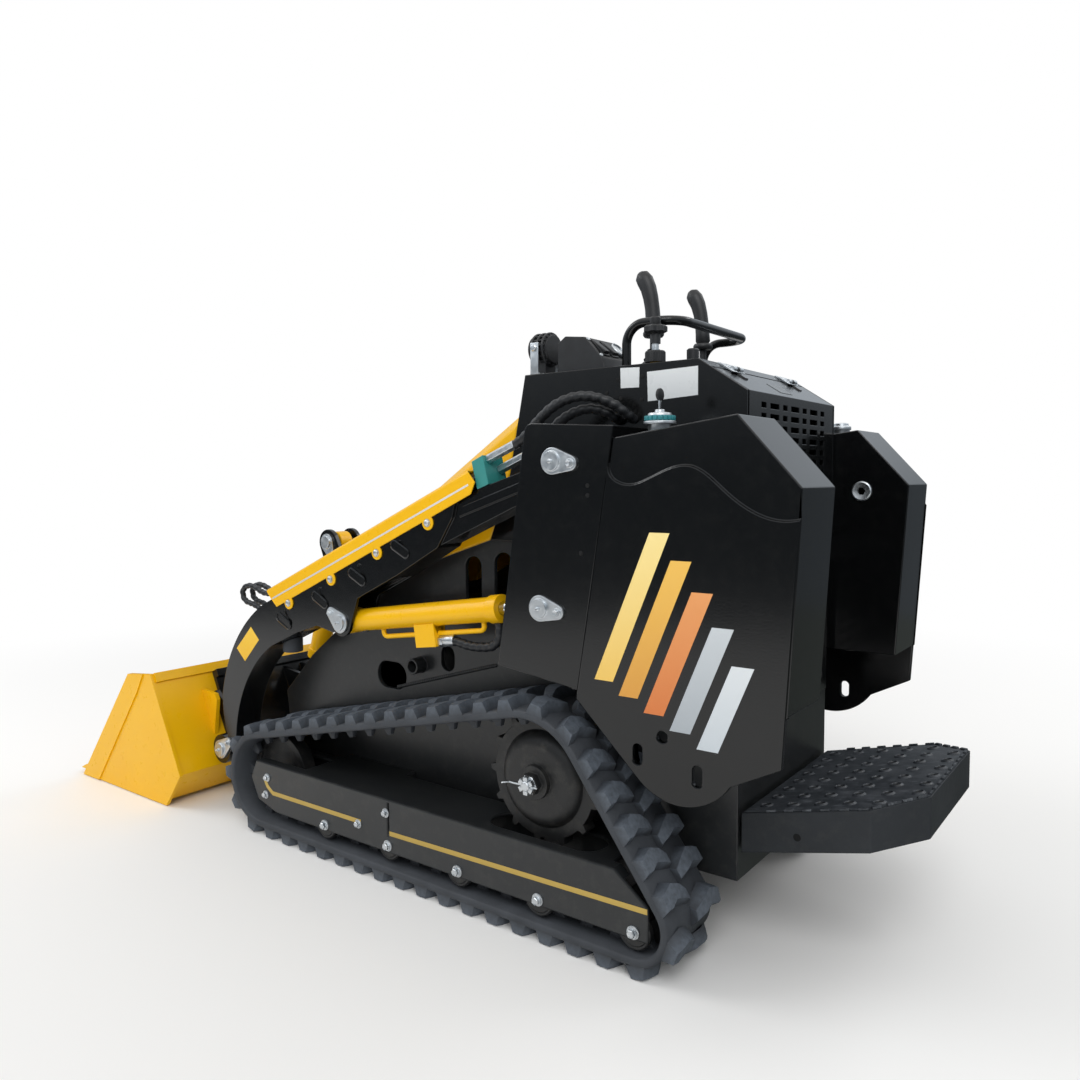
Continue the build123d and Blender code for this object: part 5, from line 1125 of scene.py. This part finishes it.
read_around = add(wrapped, "GeometryNodeInputNamedAttribute", {"Name": "around"}, data_type="FLOAT")
turns = maths(wrapped, "DIVIDE", read_far.outputs["Attribute"], given["Wrap Pitch"])
phase = maths(wrapped, "ADD", turns, read_around.outputs["Attribute"])
wave = maths(wrapped, "SINE", maths(wrapped, "MULTIPLY", phase, pi))
rise = maths(wrapped, "MULTIPLY", maths(wrapped, "ABSOLUTE", wave), given["Wrap Depth"])
outward = add(wrapped, "ShaderNodeVectorMath", {0: add(wrapped, "GeometryNodeInputNormal").outputs[0],
                                                "Scale": rise}, operation="SCALE").outputs[0]
ridged = add(wrapped, "GeometryNodeSetPosition", {"Geometry": tube.outputs["Mesh"], "Offset": outward})
smooth = add(wrapped, "GeometryNodeSetShadeSmooth", {"Geometry": ridged.outputs["Geometry"]})
end_tree(wrapped, "Hoses", smooth.outputs["Geometry"], given["Rubber"])


def hoses(name, routes, radius):
    """Mesh of wrapped hoses along smooth lines through their control points."""
    curve = bpy.data.curves.new(name, "CURVE")
    curve.dimensions = "3D"
    curve.resolution_u = 12
    for route in routes:
        spline = curve.splines.new("NURBS")
        spline.points.add(len(route) - 1)
        for point, spot in zip(spline.points, route):
            point.co = (*spot, 1.0)
        spline.order_u = 3
        spline.use_endpoint_u = True
    drawn = bpy.data.objects.new(name + "_line", curve)
    scene.collection.objects.link(drawn)
    line_mesh = as_mesh(drawn)
    holder = bpy.data.objects.new(name + "_route", line_mesh)
    scene.collection.objects.link(holder)
    modifier = holder.modifiers.new("wrapped_hose", "NODES")
    modifier.node_group = wrapped
    for label, value in (("Radius", radius), ("Wrap Pitch", WRAP_PITCH), ("Wrap Depth", WRAP_DEPTH),
                         ("Rubber", guard_rubber)):
        modifier[wrapped_inputs[label]] = value
    mesh = as_mesh(holder)
    bpy.data.objects.remove(drawn)
    bpy.data.objects.remove(holder)
    return mesh


def other_side(route):
    """A route's mirror image on the machine's right."""
    return tuple((x, -y, z) for x, y, z in route)


arch_mesh = hoses("tower_hoses", [route for left in ARM_ROUTES for route in (left, other_side(left))], HOSE_R)
arch_mesh.materials.clear()
arch_mesh.materials.append(guard_rubber)
arches = bpy.data.objects.new("tower_hoses", arch_mesh)
scene.collection.objects.link(arches)
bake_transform(arches)
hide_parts("arm_hoses")
front_routes = [tuple((x, side * y, z) for x, z in FRONT_LOOP) for y in FRONT_YS for side in (1, -1)]
front_mesh = hoses("front_hoses", front_routes, FRONT_R)
front_hoses = piece("front_hoses", front_mesh, guard_rubber, "boom")
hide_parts("arm_front_hoses")
ferrules = []
for y in FRONT_YS:
    for side in (1, -1):
        lean = atan2(FERRULE_RUN.x, FERRULE_RUN.y)
        place = Matrix.Translation((FERRULE_AT[0], side * y, FERRULE_AT[1])) @ Matrix.Rotation(lean, 4, "Y")
        ferrules.append((turned([(0.0105, 0), (0.0105, 0.012)], 6), place))
        ferrules.append((turned([(0.0085, 0.012), (0.0085, 0.034), (0.0078, 0.036)], 18), place))
assembled("front_ferrules", ferrules, zinc_plate, "boom", FINE_EDGE)

# Lift and tilt cylinders: honed tube in yellow enamel with welded ports and pipes, hard-chromed rods, and a
# guarded hose from each port.
LIFT_ROUTE = ((-0.2364, 0.345, 0.5737), (-0.2807, 0.345, 0.5801), (-0.3379, 0.345, 0.5686),
              (-0.4220, 0.345, 0.5806), (-0.4147, 0.345, 0.6318))
FERRULE_LEN = 0.044
dress(yellow_enamel, EASED, "lift_barrel_left", "lift_barrel_right", "tilt_barrel")
# Hard chrome: a clean mirror, faintly clouded by oil.
hard_chrome, tree, shader = blank("hard_chrome", 0.10, 1.0)
shader.inputs["Base Color"].default_value = linear("#CFD2D5")
wear(tree, shader, None, spread(tree, noise(tree, 30, 3.0), 0.3, 0.7, 0.06, 0.16))
dress(hard_chrome, EASED, "lift_rod_left", "lift_rod_right", "tilt_rod")
hose_run = (Vector(LIFT_ROUTE[1]) - Vector(LIFT_ROUTE[0])).normalized()
hose_lean = Matrix.Rotation(atan2(hose_run.x, hose_run.z), 4, "Y")
for name, side in (("left", 1), ("right", -1)):
    route = LIFT_ROUTE if side > 0 else other_side(LIFT_ROUTE)
    body = f"lift_barrel_{name}"
    lift_hose = piece(f"port_hose_{name}", hoses(f"port_hose_{name}", [route], HOSE_R), guard_rubber, body)
    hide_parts(f"lift_hose_{name}")
    at_port = Matrix.Translation(route[0]) @ hose_lean
    ferrule = turned([(0.0125, 0.014), (0.0132, 0.018), (0.0132, FERRULE_LEN),
                      (0.0118, FERRULE_LEN + 0.002)], 20)
    fitting = [(turned([(0.015, 0), (0.015, 0.014)], 6), at_port), (ferrule, at_port)]
    assembled(f"port_fitting_{name}", fitting, zinc_plate, body, FINE_EDGE)

# Bucket and hitch: rolled and welded steel plate in yellow enamel, hooked on a gloss black quick-hitch plate
# that turns on the arms' lower pins.
dress(yellow_enamel, PLATE_EDGE, "bucket", clamp=True)
dress(gloss_black, EASED, "hitch")

# Studio: a pale floor that fades into a white surround, three large soft lamps, and grey cards and a dark
# sheet that only reflections see, so that gloss black keeps its depth.
FLOOR_HALF = 40.0
FADE_FROM, FADE_TO = 1.5, 4.2
SKY_LIGHT = 0.62
LAMPS = (                      # place, aim, size and power
    ((-3.2, 4.2, 4.6), (-0.2, 0.0, 0.5), 3.2, 150.0),
    ((3.6, 2.4, 3.4), (0.2, 0.0, 0.4), 2.4, 70.0),
    ((-2.6, -3.6, 3.6), (-0.2, 0.0, 0.6), 2.6, 60.0),
)
CARD_RADIUS = 4.2
CARD_LOW, CARD_HIGH = 0.02, 4.2
CARDS = 24
CARD_TURN = (1.1, 2.3)         # heights where the cards turn from dark to pale
SHEET_NEAR = (-0.85, 0.6)      # corners of the dark sheet, behind the machine on the right
SHEET_FAR = (-13.0, -11.0)
SHEET_LIFT = 0.001
floor_mesh = bpy.data.meshes.new("floor")
floor_mesh.from_pydata([(-FLOOR_HALF, -FLOOR_HALF, 0), (FLOOR_HALF, -FLOOR_HALF, 0),
                        (FLOOR_HALF, FLOOR_HALF, 0), (-FLOOR_HALF, FLOOR_HALF, 0)], [], [(0, 1, 2, 3)])
floor = bpy.data.objects.new("floor", floor_mesh)
scene.collection.objects.link(floor)


def in_sight(tree):
    """One for what the camera sees, straight or by reflection, and none for light alone."""
    ray = add(tree, "ShaderNodeLightPath").outputs
    seen = maths(tree, "ADD", ray["Is Camera Ray"], ray["Is Glossy Ray"])
    return maths(tree, "ADD", seen, ray["Is Transmission Ray"], use_clamp=True)


def glowing(name):
    """A material that only gives off light, with its tree and shader."""
    material, tree, shader = blank(name, 1.0)
    shader.inputs["Base Color"].default_value = (0, 0, 0, 1)
    shader.inputs["Specular IOR Level"].default_value = 0.0
    shader.inputs["Emission Strength"].default_value = 1.0
    return material, tree, shader


# Pale floor: soft shadows near the machine that fade to plain white.
pale_floor, tree, shader = blank("pale_floor", 0.9)
shader.inputs["Base Color"].default_value = linear("#F6F6F5")
shader.inputs["Specular IOR Level"].default_value = 0.0
where = add(tree, "ShaderNodeTexCoord").outputs["Object"]
away = add(tree, "ShaderNodeVectorMath", {0: where}, operation="LENGTH").outputs["Value"]
fade = spread(tree, away, FADE_FROM, FADE_TO, 0.0, 1.0, interpolation_type="SMOOTHSTEP")
share = maths(tree, "MULTIPLY", fade, in_sight(tree))
white = add(tree, "ShaderNodeEmission", {"Color": (1, 1, 1, 1), "Strength": 1.0})
both = add(tree, "ShaderNodeMixShader", {0: share, 1: shader.outputs[0], 2: white.outputs[0]})
tree.links.new(both.outputs[0], tree.nodes["Material Output"].inputs["Surface"])
floor_mesh.materials.append(pale_floor)

world = bpy.data.worlds.new("surround")
world.use_nodes = True
scene.world = world
tree = world.node_tree
strength = spread(tree, in_sight(tree), 0.0, 1.0, SKY_LIGHT, 1.0)
tree.nodes["Background"].inputs["Color"].default_value = (1, 1, 1, 1)
tree.links.new(strength, tree.nodes["Background"].inputs["Strength"])

for index, (spot, aim, size, power) in enumerate(LAMPS):
    lamp_data = bpy.data.lights.new(f"soft_lamp_{index}", "AREA")
    lamp_data.shape = "SQUARE"
    lamp_data.size = size
    lamp_data.energy = power
    lamp = bpy.data.objects.new(f"soft_lamp_{index}", lamp_data)
    scene.collection.objects.link(lamp)
    lamp.location = spot
    lamp.rotation_euler = (Vector(aim) - Vector(spot)).to_track_quat("-Z", "Y").to_euler()

# Card grey: slate near the floor and pale above, so that upright gloss faces look deep.
card_grey, tree, shader = glowing("card_grey")
where = add(tree, "ShaderNodeTexCoord").outputs["Object"]
height = add(tree, "ShaderNodeSeparateXYZ", {0: where}).outputs["Z"]
tone = between(tree, spread(tree, height, *CARD_TURN, 0.0, 1.0), "#5C6267", "#D2DAE2")
tree.links.new(tone, shader.inputs["Emission Color"])
card_mesh = bpy.data.meshes.new("dark_cards")
corners = []
for k in range(CARDS):
    for z in (CARD_LOW, CARD_HIGH):
        corners.append((CARD_RADIUS * cos(tau * k / CARDS), CARD_RADIUS * sin(tau * k / CARDS), z))
count = len(corners)
card_mesh.from_pydata(corners, [], [(2 * k, 2 * k + 1, (2 * k + 3) % count, (2 * k + 2) % count)
                                    for k in range(CARDS)])
card_mesh.materials.append(card_grey)
# Floor grey: a dark ground for what the machine's rear faces reflect.
floor_grey, tree, shader = glowing("floor_grey")
shader.inputs["Emission Color"].default_value = linear("#5A5F5C")
sheet_mesh = bpy.data.meshes.new("floor_card")
sheet_mesh.from_pydata([(x, y, SHEET_LIFT) for x, y in ((SHEET_FAR[0], SHEET_NEAR[1]), SHEET_NEAR,
                                                        (SHEET_NEAR[0], SHEET_FAR[1]), SHEET_FAR)],
                       [], [(0, 1, 2, 3)])
sheet_mesh.materials.append(floor_grey)
for name, mesh in (("dark_cards", card_mesh), ("floor_card", sheet_mesh)):
    card = bpy.data.objects.new(name, mesh)
    scene.collection.objects.link(card)
    card.visible_camera = False
    card.visible_diffuse = False
    card.visible_shadow = False
    card.visible_transmission = False

scene.view_settings.view_transform = "Standard"
